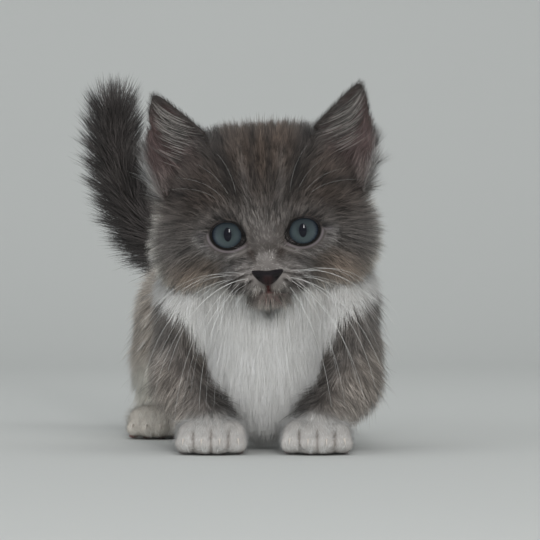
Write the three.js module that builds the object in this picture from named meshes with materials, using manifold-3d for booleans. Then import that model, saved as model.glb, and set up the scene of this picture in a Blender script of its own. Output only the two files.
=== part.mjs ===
// A munchkin kitten, grey and white with a half-long coat, standing on its short legs.
// Millimetres, +Z up. It faces -Y. X, Y are zero at the middle of the kitten's box, and Z at the floor.
// Right and left are the kitten's own. Each form is a field that is negative inside the coat's outline.
import * as THREE from "three";
import { mergeVertices } from "three/addons/utils/BufferGeometryUtils.js";
import Module from "manifold-3d";

const wasm = await Module();
wasm.setup();

// Driving dimensions
const SEAM = 0.32; // the thin cut between two parts
const MIDLINE = -2.3; // x of the face
const HEAD_CENTRE = [MIDLINE, 38, 90.5];
const HEAD_ROLL = 3.3; // degrees, its left ear higher
const EYE_RADIUS = 8.2;
const EYE_AT = [13.6, -20.4, -10]; // from the head's centre
const LID_THICKNESS = 1.3;
const EYE_OPENING = [6.2, 5.7]; // half its width and half its height
const NOSE_AT = [0, -35.4, -26];
const NOSE_SIZE = [5.2, 3.2, 3.2];
const MOUTH_HALF_WIDTH = 9;
const EAR_ROOT = [28.4, -2, 14.5];
const EAR_HEIGHT = 31;
const EAR_HALF_WIDTH = 15;
const EAR_THICKNESS = 1.5;
const EAR_CUP = 8.5;
const BREAST_CORE = -3; // the breast's solid core, under its outline
const TAIL_CORE = 6.6;
const TAIL_CUTS = [0.42, 0.7]; // shares of its length where the tail is parted
const FRONT_PAW_X = { right: -21.4, left: 17 };
const FRONT_PAW_Y = 22;
const FRONT_PAW_WIDTH = 27.5;
const HIND_PAW_X = { right: -46, left: 9 };
const HIND_PAW_Y = 112;
const HIND_PAW_WIDTH = 23;
const SHOULDER_X = { right: -30, left: 27.5 };
const THIGH_X = { right: -42, left: 6 };
const TAIL_LINE = [
  [-20, 146, 62],
  [-34, 165, 71],
  [-49, 176, 81],
  [-59, 178, 95],
  [-65, 175, 113],
  [-66, 170, 133],
];

// Locks of the coat: length, width and thickness
const CHEEK_LOCK = [15, 10.5, 2.8];
const EAR_TUFT = [17, 6, 1.6];
const BREAST_LOCK = [19, 11, 3];
const LOW_BREAST_LOCK = [12, 9, 2.8];
const LOW_BREAST_TOP = 26; // height under which the breast has its short locks
const FLANK_LOCK = [19, 10.5, 3];
const RUMP_LOCK = [18, 12, 3];
const FOREARM_LOCK = [12, 8, 2.4];
const THIGH_LOCK = [14, 9, 2.6];
const TAIL_LOCK = [20, 11.5, 2.6];

const radians = THREE.MathUtils.degToRad;
const vector = (numbers) => new THREE.Vector3(...numbers);
const outward = { right: -1, left: 1 }; // the way x grows on each side

// A small repeatable source of chance, from 0 to 1.
function chanceFrom(seed) {
  let state = seed;
  return () => {
    state = (state * 1664525 + 1013904223) % 4294967296;
    return state / 4294967296;
  };
}

// Fields

function ellipsoid([cx, cy, cz], [rx, ry, rz]) {
  const smallest = Math.min(rx, ry, rz);
  return (x, y, z) => {
    const [u, v, w] = [(x - cx) / rx, (y - cy) / ry, (z - cz) / rz];
    const share = Math.sqrt(u * u + v * v + w * w);
    const slope = Math.sqrt((u / rx) ** 2 + (v / ry) ** 2 + (w / rz) ** 2);
    return slope < 1e-9 ? -smallest : (share * (share - 1)) / slope;
  };
}

// A limb that tapers from one radius to another.
function limb([ax, ay, az], [bx, by, bz], startRadius, endRadius) {
  const [dx, dy, dz] = [bx - ax, by - ay, bz - az];
  const square = dx * dx + dy * dy + dz * dz;
  return (x, y, z) => {
    const [px, py, pz] = [x - ax, y - ay, z - az];
    const t = Math.min(Math.max((px * dx + py * dy + pz * dz) / square, 0), 1);
    const [qx, qy, qz] = [px - t * dx, py - t * dy, pz - t * dz];
    return Math.sqrt(qx * qx + qy * qy + qz * qz) - startRadius - (endRadius - startRadius) * t;
  };
}

// Joins fields with a soft crease about as wide as the given softness.
function soften(softness, ...fields) {
  return (x, y, z) => {
    let value = fields[0](x, y, z);
    for (let i = 1; i < fields.length; i += 1) {
      const other = fields[i](x, y, z);
      const h = Math.max(softness - Math.abs(value - other), 0) / softness;
      value = Math.min(value, other) - (h * h * softness) / 4;
    }
    return value;
  };
}

function slopeOf(field, { x, y, z }) {
  const step = 0.05;
  return new THREE.Vector3(
    field(x + step, y, z) - field(x - step, y, z),
    field(x, y + step, z) - field(x, y - step, z),
    field(x, y, z + step) - field(x, y, z - step),
  ).normalize();
}

// How far from a point inside, in a direction, the field reaches the given level.
function reachOf(field, from, direction, level) {
  const value = (far) =>
    field(from.x + direction.x * far, from.y + direction.y * far, from.z + direction.z * far) - level;
  const step = 1.2;
  let near = 0;
  while (near < 200 && value(near + step) < 0) near += step;
  let far = near + step;
  for (let i = 0; i < 14; i += 1) {
    const middle = (near + far) / 2;
    if (value(middle) < 0) near = middle;
    else far = middle;
  }
  return (near + far) / 2;
}

// A form is an axis, the way up from it and a field. A place on it is a share of the way from
// the first pole to the last, and a turn about the axis, zero at the top.
function form(points, up, field, capShare = 0.28) {
  const line = points.map(vector);
  const curve = line.length > 2 ? new THREE.CatmullRomCurve3(line) : new THREE.LineCurve3(...line);
  return { curve, up: vector(up), field, capShare };
}

function placeOn(shape, share, turn, level = 0) {
  const { curve, up, field, capShare } = shape;
  const t = THREE.MathUtils.clamp((share - capShare) / (1 - 2 * capShare), 0, 1);
  const from = curve.getPointAt(t);
  const along = curve.getTangentAt(t).normalize();
  const top = up.clone().addScaledVector(along, -up.dot(along)).normalize();
  const side = along.clone().cross(top);
  const round = top.multiplyScalar(Math.cos(turn)).addScaledVector(side, Math.sin(turn));
  const past = share < 0.5 ? Math.min(share / capShare, 1) - 1 : 1 - Math.min((1 - share) / capShare, 1);
  const lean = (past * Math.PI) / 2;
  const direction = round.multiplyScalar(Math.cos(lean)).addScaledVector(along, Math.sin(lean));
  return from.addScaledVector(direction, reachOf(field, from, direction, level));
}

// Closed meshes and solids

function closed(geometry) {
  const bare = new THREE.BufferGeometry();
  bare.setAttribute("position", geometry.getAttribute("position"));
  bare.setIndex(geometry.getIndex());
  return mergeVertices(bare, 1e-4);
}

// A move may turn a mesh inside out, so its faces are turned back where the volume is negative.
function solidOf(geometry) {
  const mesh = closed(geometry);
  const vertProperties = new Float32Array(mesh.attributes.position.array);
  const triVerts = new Uint32Array(mesh.index.array);
  const made = new wasm.Manifold(new wasm.Mesh({ numProp: 3, vertProperties, triVerts }));
  if (made.volume() > 0) return made;
  return new wasm.Manifold(new wasm.Mesh({ numProp: 3, vertProperties, triVerts: triVerts.reverse() }));
}

// Moves each vertex of a closed mesh.
function shaped(geometry, move) {
  const mesh = closed(geometry);
  const place = mesh.attributes.position;
  for (let i = 0; i < place.count; i += 1) {
    const moved = move(new THREE.Vector3().fromBufferAttribute(place, i));
    place.setXYZ(i, moved.x, moved.y, moved.z);
  }
  return mesh;
}

function largest(solid) {
  const bodies = solid.decompose();
  return bodies.sort((a, b) => b.volume() - a.volume())[0];
}

const joined = (solids) => solids.reduce((all, one) => all.add(one));

// A sphere's grid, whose vertices move out from the form's axis to its surface.
function surfaceOf(shape, sides, rings, level = 0) {
  return shaped(new THREE.SphereGeometry(1, sides, rings), (v) =>
    placeOn(shape, Math.acos(THREE.MathUtils.clamp(v.y, -1, 1)) / Math.PI, -Math.atan2(v.z, v.x), level),
  );
}

const solidForm = (shape, sides, rings, level = 0) => solidOf(surfaceOf(shape, sides, rings, level));

// A ball scaled to three radii, turned and placed.
function ball(centre, radii, sides = 16, rings = 10, turn = [0, 0, 0]) {
  const place = new THREE.Matrix4().makeRotationFromEuler(new THREE.Euler(...turn.map(radians)));
  place.scale(vector(radii)).setPosition(vector(centre));
  return solidOf(new THREE.SphereGeometry(1, sides, rings).applyMatrix4(place));
}

// A flat lock of hair that tapers and bends down onto the lie of the coat. A grown one runs
// straight on past both its ends.
function lock({ root, normal, lie, length, width, thickness, lift = 0.45, sink = 2.5 }, grow = 0) {
  const along = lie.clone().addScaledVector(normal, -lie.dot(normal)).normalize();
  const side = along.clone().cross(normal).normalize();
  const lineAt = (t) =>
    root
      .clone()
      .addScaledVector(normal, lift * length * (t - 0.62 * t * t) - sink * (1 - t) ** 2)
      .addScaledVector(along, length * (t - 0.08 * (1 - t)));
  const [foot, middle, tip] = [0, 0.5, 1].map(lineAt);
  const over = (3 * grow) / length;
  return solidOf(
    shaped(new THREE.ConeGeometry(1, 1, 4, 2), (v) => {
      const ring = Math.max(0.5 - v.y, 1e-6);
      const t = (v.y + 0.5) * (1 + 2 * over) - over;
      const swell = ring < 0.01 ? 0 : 0.8 - 0.1 * t;
      const forward = lineAt(t + 0.01).sub(lineAt(t)).normalize();
      const above = side.clone().cross(forward).normalize();
      return (t < 0.5 ? foot.clone().lerp(middle, 2 * t) : middle.clone().lerp(tip, 2 * t - 1))
        .addScaledVector(side, (v.x / ring) * (width * 0.5 * swell + 2 * grow))
        .addScaledVector(above, (v.z / ring) * (thickness * 0.5 * swell + 2 * grow));
    }),
  );
}

// Rows of locks on a form, staggered from row to row.
function locksOn(shape, coat, grow) {
  const { seed, shares, rows, turns, across, lie, size, lift, level, wrap = false } = coat;
  const locks = [];
  const chance = chanceFrom(seed);
  const between = (low, high) => low + (high - low) * chance();
  for (let row = 0; row < rows; row += 1) {
    const rowShare = THREE.MathUtils.lerp(shares[0], shares[1], rows > 1 ? row / (rows - 1) : 0);
    const count = Math.round(typeof across === "function" ? across(row / rows) : across);
    for (let i = 0; i < count; i += 1) {
      const step = (i + (row % 2) * 0.5 + between(-0.15, 0.15)) / (wrap ? count : Math.max(count - 0.5, 1));
      const turn = THREE.MathUtils.lerp(radians(turns[0]), radians(turns[1]), step);
      const root = placeOn(shape, rowShare + between(-0.008, 0.008), turn, level);
      const normal = slopeOf(shape.field, root);
      const lockSize = typeof size === "function" ? size(root) : size;
      const [length, width, thickness] = lockSize.map((n) => n * between(0.85, 1.15));
      locks.push(lock({ root, normal, lie: lie(root, normal), length, width, thickness, lift }, grow));
    }
  }
  return locks;
}

// Head, in its own frame

const mirrorX = (side, [x, y, z]) => [outward[side] * x, y, z];
const sides = ["right", "left"];

const headField = soften(
  8,
  ellipsoid([0, 5, 2], [38.5, 33, 28.6]),
  ...sides.map((side) => ellipsoid(mirrorX(side, [20.5, 2, -14]), [20.5, 26, 18])),
  ellipsoid([0, -5, 7], [27, 23.5, 20]),
  ellipsoid([0, -8, -15], [25, 21, 15]),
  soften(
    6,
    limb([0, -21, -7], [0, -29.8, -20.5], 8.4, 6.2),
    ...sides.map((side) => ellipsoid(mirrorX(side, [7, -25.8, -26]), [9.4, 9.6, 7])),
    ellipsoid([0, -23, -31.6], [8.4, 8.4, 6]),
  ),
);
const head = form([[0, -12, -12], [0, 8, 2]], [0, 0, 1], headField, 0.42);
const headPlace = new THREE.Matrix4().makeRotationY(radians(-HEAD_ROLL)).setPosition(vector(HEAD_CENTRE));
const onHead = (solid) => solid.transform(headPlace.elements);

function eyeball(side, grow = 0) {
  const radius = EYE_RADIUS + grow;
  return ball(mirrorX(side, EYE_AT), [radius, radius * 1.06, radius], 14, 8);
}

// The lids lie on the eyeball, round an opening whose outer corner is a little higher.
function lids(side, grow) {
  const radius = EYE_RADIUS + LID_THICKNESS + grow;
  return ball(mirrorX(side, EYE_AT), [radius, radius, radius], 14, 8);
}

function eyeOpening(side) {
  const opening = new THREE.CylinderGeometry(0.8, 1.05, 16, 16).scale(EYE_OPENING[0], 1, EYE_OPENING[1]);
  opening.rotateY(radians(8 * outward[side])).rotateZ(radians(-9 * outward[side]));
  const [x, y, z] = mirrorX(side, EYE_AT);
  return solidOf(opening.translate(x, y - 11, z));
}

// The nose leather narrows downwards to the groove of the lip.
function nose(grow = 0) {
  const size = NOSE_SIZE.map((n) => n + grow);
  const pad = shaped(new THREE.SphereGeometry(1, 10, 7), (v) => {
    const narrow = THREE.MathUtils.lerp(0.42, 1.08, (v.z + 1) / 2);
    return new THREE.Vector3(v.x * narrow * size[0], v.y * size[1], v.z * size[2]).add(vector(NOSE_AT));
  });
  return solidOf(pad);
}

function nostril(side) {
  const [x, y, z] = NOSE_AT;
  const out = outward[side];
  return ball([x + out * 2.9, y - 2.7, z + 0.1], [1.15, 2, 0.8], 8, 6, [0, out * -35, 0]);
}

// The line of the mouth: down from the nose, then out under each lip.
function mouthGroove() {
  const inside = new THREE.Vector3(0, -20, -27);
  const onFace = (x, z) => {
    const direction = new THREE.Vector3(x, -16, z - inside.z).normalize();
    return inside.clone().addScaledVector(direction, reachOf(headField, inside, direction, -0.2));
  };
  const tube = (line) => {
    const section = new THREE.Shape().absarc(0, 0, 0.75, 0, 2 * Math.PI);
    return solidOf(
      new THREE.ExtrudeGeometry(section, {
        steps: 6,
        curveSegments: 3,
        extrudePath: new THREE.CatmullRomCurve3(line),
      }),
    );
  };
  const drop = tube([onFace(0, NOSE_AT[2] - 2), onFace(0, -30), onFace(0, -31.6)]);
  const lips = sides.map((side) =>
    tube(
      [0, 0.3, 0.6, 1].map((share) => {
        const height = -31.4 - 1.1 * Math.sin(share * Math.PI) + 1.2 * share;
        return onFace(outward[side] * share * MOUTH_HALF_WIDTH, height);
      }),
    ),
  );
  return joined([drop, ...lips]);
}

// Cheek locks sweep out and back from under the eyes to the ears.
function cheekLocks(grow) {
  const coat = {
    seed: 3,
    shares: [0.5, 0.64],
    rows: 2,
    across: 5,
    size: CHEEK_LOCK,
    lift: 0.55,
    level: -1.2,
  };
  return sides.flatMap((side) => {
    const out = outward[side];
    const lie = (root) => new THREE.Vector3(out * 0.9, 0.55, 0.03 * root.z - 0.5);
    return locksOn(head, { ...coat, turns: [out * 78, out * 160], lie }, grow);
  });
}

function headSolid(grow = 0) {
  const skull = solidForm(head, 24, 17, grow);
  const body = joined([skull, ...sides.map((side) => lids(side, grow)), ...cheekLocks(grow)]);
  if (grow > 0) return body;
  const eyes = sides.map((side) => eyeball(side, SEAM));
  return body.subtract(joined([...sides.map(eyeOpening), ...eyes, nose(SEAM), mouthGroove()]));
}

// Ears, in the head's frame

// A place on an ear, from its height, its share of the way across, -1 at the inner edge, and how
// far it stands in front of the cup. The cup's edges come forward.
function earPlace(side, height, a, before, grow = 0) {
  const across = new THREE.Vector3(0.82, 0.22, -0.52);
  const tall = new THREE.Vector3(0.32, 0.05, 0.947);
  const front = new THREE.Vector3(0.25, -0.97, -0.03);
  const share = THREE.MathUtils.clamp(height / EAR_HEIGHT, 0, 1);
  const width = EAR_HALF_WIDTH * Math.max(1 - share, 0.02) ** 0.72 * Math.min(0.82 + share, 1) + grow;
  const cup = EAR_CUP * (1 - 0.45 * share) * a * a * Math.sqrt(1 - share);
  const place = vector(EAR_ROOT)
    .addScaledVector(tall, height)
    .addScaledVector(across, a * width)
    .addScaledVector(front, cup + before);
  place.x *= outward[side];
  return place;
}

// An ear is a cone flattened into a leaf.
function ear(side, grow = 0) {
  const sunk = 6;
  return shaped(new THREE.ConeGeometry(1, 1, 14, 7), (v) => {
    const t = v.y + 0.5;
    const ring = Math.max(1 - t, 1e-6);
    const swell = t > 0.999 ? 0 : 1;
    const height = -sunk + (EAR_HEIGHT + sunk + grow) * t;
    const thick = EAR_THICKNESS * (1 - 0.4 * Math.max(height / EAR_HEIGHT, 0)) + grow;
    return earPlace(side, height, (swell * v.x) / ring, swell * (v.z / ring) * thick, grow);
  });
}

// Tufts that grow from the ear's inner edge across the cup, shorter towards its tip.
function earTufts(side, grow) {
  const [longest, width, thickness] = EAR_TUFT;
  return [0, 1, 2, 3].map((i) => {
    const height = 3.5 + 4 * i;
    const root = earPlace(side, height, -0.7, 0.8);
    const lie = earPlace(side, height + 14, 0.3, 1.5).sub(root);
    const normal = new THREE.Vector3(0.1 * outward[side], -1, 0);
    return lock({ root, normal, lie, length: longest - 2 * i, width, thickness, lift: 0.3, sink: 1 }, grow);
  });
}

// Trunk

const neck = form(
  [[MIDLINE, 44, 50], [MIDLINE - 0.5, 60, 58]],
  [0, 0, 1],
  soften(8, ellipsoid([MIDLINE, 52, 62], [33, 28, 28]), ellipsoid([MIDLINE, 45, 39], [24, 21, 31])),
  0.4,
);

const torso = form(
  [[-4, 66, 48], [-6, 84, 50], [-12, 112, 51], [-17, 130, 53]],
  [0, 0, 1],
  soften(
    14,
    ellipsoid([-4, 76, 53], [33, 34, 36]),
    ellipsoid([-11, 108, 51], [33, 34, 34]),
    ellipsoid([-17.5, 131, 54], [32.5, 28, 32]),
    ellipsoid([-3, 62, 72], [23, 26, 18]),
  ),
  0.3,
);

// Breast locks hang down over one another to a point between the forelegs.
function ruffLocks(grow) {
  const coat = {
    seed: 5,
    shares: [0.08, 0.34],
    rows: 4,
    turns: [-278, -82],
    across: (share) => 4.6 + 4.4 * share,
    lie: (root) => new THREE.Vector3((MIDLINE - root.x) * 0.022, 0.1, -1),
    size: (root) => (root.z < LOW_BREAST_TOP ? LOW_BREAST_LOCK : BREAST_LOCK),
    lift: 0.8,
    level: BREAST_CORE - 1.5,
  };
  return locksOn(neck, coat, grow);
}

// Flank locks lie back and down, and make the fringe along the belly.
function flankLocks(grow) {
  const coat = {
    shares: [0.34, 0.68],
    rows: 6,
    across: 2,
    lie: () => new THREE.Vector3(0, 1, -0.75),
    size: FLANK_LOCK,
    lift: 0.55,
    level: -1,
  };
  const left = locksOn(torso, { ...coat, seed: 13, turns: [108, 138] }, grow);
  const right = locksOn(torso, { ...coat, seed: 14, turns: [-138, -108] }, grow);
  return [...left, ...right];
}

// The rump's locks fall from the tail's root to the thighs.
function rumpLocks(grow) {
  const coat = {
    seed: 17,
    shares: [0.84, 0.96],
    rows: 2,
    turns: [60, 300],
    across: 5,
    lie: (root) => new THREE.Vector3((root.x + 18) * 0.02, 0.2, -1),
    size: RUMP_LOCK,
    lift: 0.55,
    level: -1,
  };
  return locksOn(torso, coat, grow);
}

// Legs

function foreleg(side) {
  const out = outward[side];
  const shoulder = SHOULDER_X[side];
  const wrist = FRONT_PAW_X[side] + out * 0.8;
  return form(
    [[shoulder, 55, 54], [shoulder + out * 0.5, 48, 34], [wrist, 30, 12]],
    [0, -1, 0],
    soften(
      9,
      ellipsoid([shoulder, 56, 52], [15, 21, 25]),
      limb([shoulder + out * 2.8, 54, 36], [shoulder + out * 2, 46, 25], 13, 12.4),
      limb([shoulder + out, 46, 26], [wrist, 27, 11], 12.8, 11.4),
    ),
    0.22,
  );
}

function hindLeg(side) {
  const out = outward[side];
  const thigh = THIGH_X[side];
  const ankle = HIND_PAW_X[side];
  return form(
    [[thigh, 126, 46], [thigh + out, 125, 32], [ankle, 123, 12]],
    [0, -1, 0],
    soften(
      9,
      ellipsoid([thigh, 126, 44], [14.5, 26, 26]),
      ellipsoid([thigh + out * 2, 118, 31], [12.5, 17, 13]),
      limb([ankle, 128, 22], [ankle, 122, 9], 11, 10.4),
    ),
    0.22,
  );
}

// A paw is a low pad with four toes that fan out a little. Its grid is closer together in front.
function paw(x, y, width, grow = 0) {
  const toes = [-1.5, -0.5, 0.5, 1.5].map((place) => {
    const tip = [x + place * width * 0.24, y - 11.6 + 1.4 * place * place, 4.2];
    const knuckle = [x + place * width * 0.19, y - 2, 7.2];
    return limb(tip, knuckle, width * 0.158, width * 0.155);
  });
  const field = soften(2, ...toes, ellipsoid([x, y + 2, 5.4], [width * 0.47, 12, 7.6]));
  const pad = form([[x, y - 2, 4], [x, y - 1, 6]], [0, -1, 0], field, 0.42);
  return solidOf(
    shaped(new THREE.SphereGeometry(1, 24, 7), (v) => {
      const turn = Math.atan2(v.x, -v.z);
      const share = Math.acos(THREE.MathUtils.clamp(-v.y, -1, 1)) / Math.PI;
      return placeOn(pad, share, turn - 0.5 * Math.sin(turn), grow);
    }),
  );
}

const frontPaw = (side, grow) => paw(FRONT_PAW_X[side], FRONT_PAW_Y, FRONT_PAW_WIDTH, grow);
const hindPaw = (side, grow) => paw(HIND_PAW_X[side], HIND_PAW_Y, HIND_PAW_WIDTH, grow);

// Feathering behind the forearm and the thigh.
function legLocks(shape, shares, size, grow) {
  const coat = {
    seed: 34,
    shares,
    rows: 2,
    turns: [150, 215],
    across: 2,
    lie: () => new THREE.Vector3(0, 0.55, -1),
    size,
    lift: 0.55,
    level: -1.2,
  };
  return locksOn(shape, coat, grow);
}

// Tail

const tailCurve = new THREE.CatmullRomCurve3(TAIL_LINE.map(vector));

function tailField() {
  const stops = 14;
  const pieces = [];
  for (let i = 0; i < stops; i += 1) {
    const [start, end] = [i / stops, (i + 1) / stops];
    const radius = (t) => TAIL_CORE * (1.1 - 0.2 * t);
    const [from, to] = [start, end].map((t) => tailCurve.getPointAt(t).toArray());
    pieces.push(limb(from, to, radius(start), radius(end)));
  }
  return soften(3, ...pieces);
}

const tail = { curve: tailCurve, up: vector([0, 0.3, 1]), field: tailField(), capShare: 0.06 };

// The brush of the tail: rows of locks that lean out from the core towards the tip.
function tailLocks(grow) {
  const coat = {
    seed: 21,
    shares: [0.2, 0.97],
    rows: 8,
    turns: [0, 360],
    across: (share) => 6.2 - 1.4 * share,
    wrap: true,
    lie: tailDirection,
    size: TAIL_LOCK,
    lift: 0.74,
    level: -1,
  };
  return locksOn(tail, coat, grow);
}

function tailDirection(point) {
  const steps = 40;
  let best = 0;
  let gap = Infinity;
  for (let i = 0; i <= steps; i += 1) {
    const far = tailCurve.getPointAt(i / steps).distanceTo(point);
    if (far < gap) [best, gap] = [i / steps, far];
  }
  return tailCurve.getTangentAt(best);
}

// Everything past a place on the tail, for parting it.
function pastTail(share) {
  const block = new THREE.BoxGeometry(200, 200, 200).translate(0, 0, 100);
  const upward = new THREE.Vector3(0, 0, 1);
  const turn = new THREE.Quaternion().setFromUnitVectors(upward, tailCurve.getTangentAt(share));
  const place = new THREE.Matrix4().makeRotationFromQuaternion(turn);
  return solidOf(block.applyMatrix4(place.setPosition(tailCurve.getPointAt(share))));
}

// Parts. Each is a function of how far it is grown, and is cut clear of its grown neighbours.

const floor = solidOf(new THREE.BoxGeometry(600, 600, 60).translate(0, 80, -30));

const earOf = (side, grow) => onHead(joined([solidOf(ear(side, grow)), ...earTufts(side, grow)]));
const neckOf = (grow) => joined([solidForm(neck, 20, 13, BREAST_CORE + grow), ...ruffLocks(grow)]);
function legOf(leg, shares, size, grow) {
  return joined([solidForm(leg, 13, 10, grow), ...legLocks(leg, shares, size, grow)]);
}
const forelegOf = (side, grow) => legOf(foreleg(side), [0.5, 0.62], FOREARM_LOCK, grow);
const hindLegOf = (side, grow) => legOf(hindLeg(side), [0.34, 0.52], THIGH_LOCK, grow);
const tailOf = (grow) => joined([solidForm(tail, 10, 16, grow), ...tailLocks(grow)]);
const torsoOf = (grow) => joined([solidForm(torso, 20, 14, grow), ...flankLocks(grow), ...rumpLocks(grow)]);

const parts = {};
const grownHead = onHead(headSolid(SEAM));
const grownTail = tailOf(SEAM);
const grownPaws = sides.flatMap((side) => [frontPaw(side, SEAM), hindPaw(side, SEAM)]);
const grownForelegs = sides.map((side) => forelegOf(side, SEAM));
const grownHindLegs = sides.map((side) => hindLegOf(side, SEAM));

parts.nose = onHead(nose().subtract(joined(sides.map(nostril))));
parts.head = onHead(headSolid()).subtract(joined(sides.map((side) => earOf(side, SEAM))));
parts.neck = neckOf(0).subtract(joined([grownHead, ...grownForelegs]));
parts.torso = torsoOf(0).subtract(
  joined([grownHead, neckOf(SEAM), grownTail, floor, ...grownPaws, ...grownForelegs, ...grownHindLegs]),
);
for (const side of sides) {
  parts[`eye_${side}`] = onHead(eyeball(side));
  parts[`ear_${side}`] = earOf(side, 0).subtract(onHead(solidForm(head, 26, 18, SEAM)));
  parts[`front_paw_${side}`] = frontPaw(side).subtract(floor);
  parts[`hind_paw_${side}`] = hindPaw(side).subtract(floor);
  parts[`foreleg_${side}`] = forelegOf(side, 0).subtract(joined([grownHead, floor, ...grownPaws]));
  parts[`hind_leg_${side}`] = hindLegOf(side, 0).subtract(joined([floor, ...grownPaws]));
}
const tailWhole = tailOf(0).subtract(joined(grownHindLegs));
const tailSeam = SEAM / tailCurve.getLength();
const [firstCut, secondCut] = TAIL_CUTS;
parts.tail_root = tailWhole.subtract(pastTail(firstCut));
parts.tail_middle = tailWhole.intersect(pastTail(firstCut + tailSeam)).subtract(pastTail(secondCut));
parts.tail_tip = tailWhole.intersect(pastTail(secondCut + tailSeam));

// Materials

const GREY = 0x6b6560;
const WHITE = 0xdad8d2;
const finishes = {
  nose: { color: 0x3a3031, roughness: 0.5 },
  eye_right: { color: 0x5b6b78, roughness: 0.08 },
  eye_left: { color: 0x5b6b78, roughness: 0.08 },
  front_paw_right: { color: WHITE },
  front_paw_left: { color: WHITE },
  hind_paw_right: { color: WHITE },
  hind_paw_left: { color: WHITE },
  neck: { color: WHITE },
  tail_root: { color: 0x4a4542 },
  tail_middle: { color: 0x423d3b },
  tail_tip: { color: 0x423d3b },
};

// A solid's mesh, with corners closer than a thousandth joined and only its largest surface kept.
function meshOf(name, solid) {
  const { vertProperties, triVerts } = largest(solid).getMesh();
  const rough = new THREE.BufferGeometry();
  rough.setAttribute("position", new THREE.BufferAttribute(vertProperties, 3));
  rough.setIndex(new THREE.BufferAttribute(triVerts, 1));
  const whole = largest(solidOf(mergeVertices(rough, 1e-3))).getMesh();
  const geometry = new THREE.BufferGeometry();
  geometry.setAttribute("position", new THREE.BufferAttribute(whole.vertProperties, 3));
  geometry.setIndex(new THREE.BufferAttribute(whole.triVerts, 1));
  geometry.computeVertexNormals();
  const look = { color: GREY, roughness: 0.9, metalness: 0, ...finishes[name] };
  const mesh = new THREE.Mesh(geometry, new THREE.MeshStandardMaterial(look));
  mesh.name = name;
  return mesh;
}

// The frame's origin is under the middle of the kitten's box.
const box = new THREE.Box3();
for (const solid of Object.values(parts)) {
  const { min, max } = solid.boundingBox();
  box.union(new THREE.Box3(vector(min), vector(max)));
}
const middle = box.getCenter(new THREE.Vector3());
const kitten = new THREE.Group();
for (const [name, solid] of Object.entries(parts)) {
  kitten.add(meshOf(name, solid.translate([-middle.x, -middle.y, -box.min.z])));
}
export default kitten;
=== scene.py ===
"""A munchkin kitten for the render: its skin, coat, eyes, nose, whiskers, pads and claws."""

import math

import bmesh
import bpy
import numpy as np
from mathutils import Matrix, Vector
from mathutils.kdtree import KDTree


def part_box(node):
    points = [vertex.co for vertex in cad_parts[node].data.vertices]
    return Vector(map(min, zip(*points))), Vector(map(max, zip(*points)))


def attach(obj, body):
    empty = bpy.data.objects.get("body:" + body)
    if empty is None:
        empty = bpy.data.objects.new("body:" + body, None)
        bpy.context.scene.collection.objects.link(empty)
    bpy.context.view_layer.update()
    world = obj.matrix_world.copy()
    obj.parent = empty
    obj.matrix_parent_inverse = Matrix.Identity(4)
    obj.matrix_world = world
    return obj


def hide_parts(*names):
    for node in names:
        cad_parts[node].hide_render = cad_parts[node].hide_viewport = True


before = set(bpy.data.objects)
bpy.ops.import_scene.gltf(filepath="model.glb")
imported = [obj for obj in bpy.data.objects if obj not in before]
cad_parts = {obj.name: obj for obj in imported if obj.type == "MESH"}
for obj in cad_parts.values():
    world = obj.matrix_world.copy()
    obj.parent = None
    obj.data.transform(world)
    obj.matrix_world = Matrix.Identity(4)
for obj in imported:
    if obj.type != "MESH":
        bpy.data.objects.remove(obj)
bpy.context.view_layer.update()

bl_info = {
    "name": "Munchkin kitten",
    "version": (1, 0, 0),
    "blender": (4, 5, 0),
    "location": "View3D > Sidebar > Kitten",
    "description": "Dresses the solid kitten with skin, coat, eyes, nose, whiskers, pads and claws",
    "category": "Object",
}

MM = 0.001
SIDES = {"right": -1, "left": 1}  # the way x grows on each side

# The kitten's measures in millimetres: x to its left, y to its tail, z up from the floor
MIDLINE = -2.3
HEAD_CENTRE = (MIDLINE, 38, 90.5)
HEAD_ROLL = 3.3  # degrees, its left ear higher
EYE_AT = (13.6, -20.4, -10)  # from the head's centre, as all that is on the head
EYE_RADIUS = 8.2
LID_THICKNESS = 0.7
SOCKET_DEPTH = 1.6  # of the skin behind the front of each eyeball
CORNEA_BULGE = 0.45
EYE_OPENING = (6.15, 5.05)  # half its width and half its height
EYE_TURN = 8  # degrees, its outer corner higher
MUZZLE = (0, -35, -22)
NOSE_AT = (0, -35.3, -26)
MOUTH_HALF_WIDTH = 12
MOUTH_HEIGHT = -31.3
MOUTH_GROOVE = (0.75, 1.3)  # its width and its depth
EAR_ROOT = (28.4, -2, 14.5)
EAR_HEIGHT = 31
EAR_HALF_WIDTH = 15
EAR_CUP = 8.5
EAR_THICKNESS = 1.1
EAR_ACROSS = (0.82, 0.22, -0.52)
EAR_TALL = (0.32, 0.05, 0.947)
EAR_FRONT = (0.25, -0.97, -0.03)
SHOULDER_X = {"right": -30, "left": 27.5}
THIGH_X = {"right": -42, "left": 6}
FRONT_PAW_X = {"right": -21.4, "left": 17}
FRONT_PAW_Y = 22
FRONT_PAW_WIDTH = 27.5
HIND_PAW_X = {"right": -46, "left": 9}
HIND_PAW_Y = 112
HIND_PAW_WIDTH = 23
TAIL_LINE = (
    (-20, 146, 62),
    (-34, 165, 71),
    (-49, 176, 81),
    (-59, 178, 95),
    (-65, 175, 113),
    (-66, 169, 137),
)
TAIL_RADIUS = 5.4
WEAVE = 6  # how softly the parts run into one another under the coat
VOXEL = 1.2  # of the rough flesh, before the face is made finer
SKIN_CLEARANCE = 0.4  # least height over the floor
HAIR_CLEARANCE = 0.5
TOES = (-1.5, -0.5, 0.5, 1.5)  # their places across a paw, in widths of a toe

# The camera stands where the photograph was taken from
CAMERA_DISTANCE = 950
CAMERA_HEIGHT = 67
CAMERA_LENS = 177.3
SENSOR = 36


# Places

HEAD_TURN = np.array(Matrix.Rotation(math.radians(-HEAD_ROLL), 3, "Y"))


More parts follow.
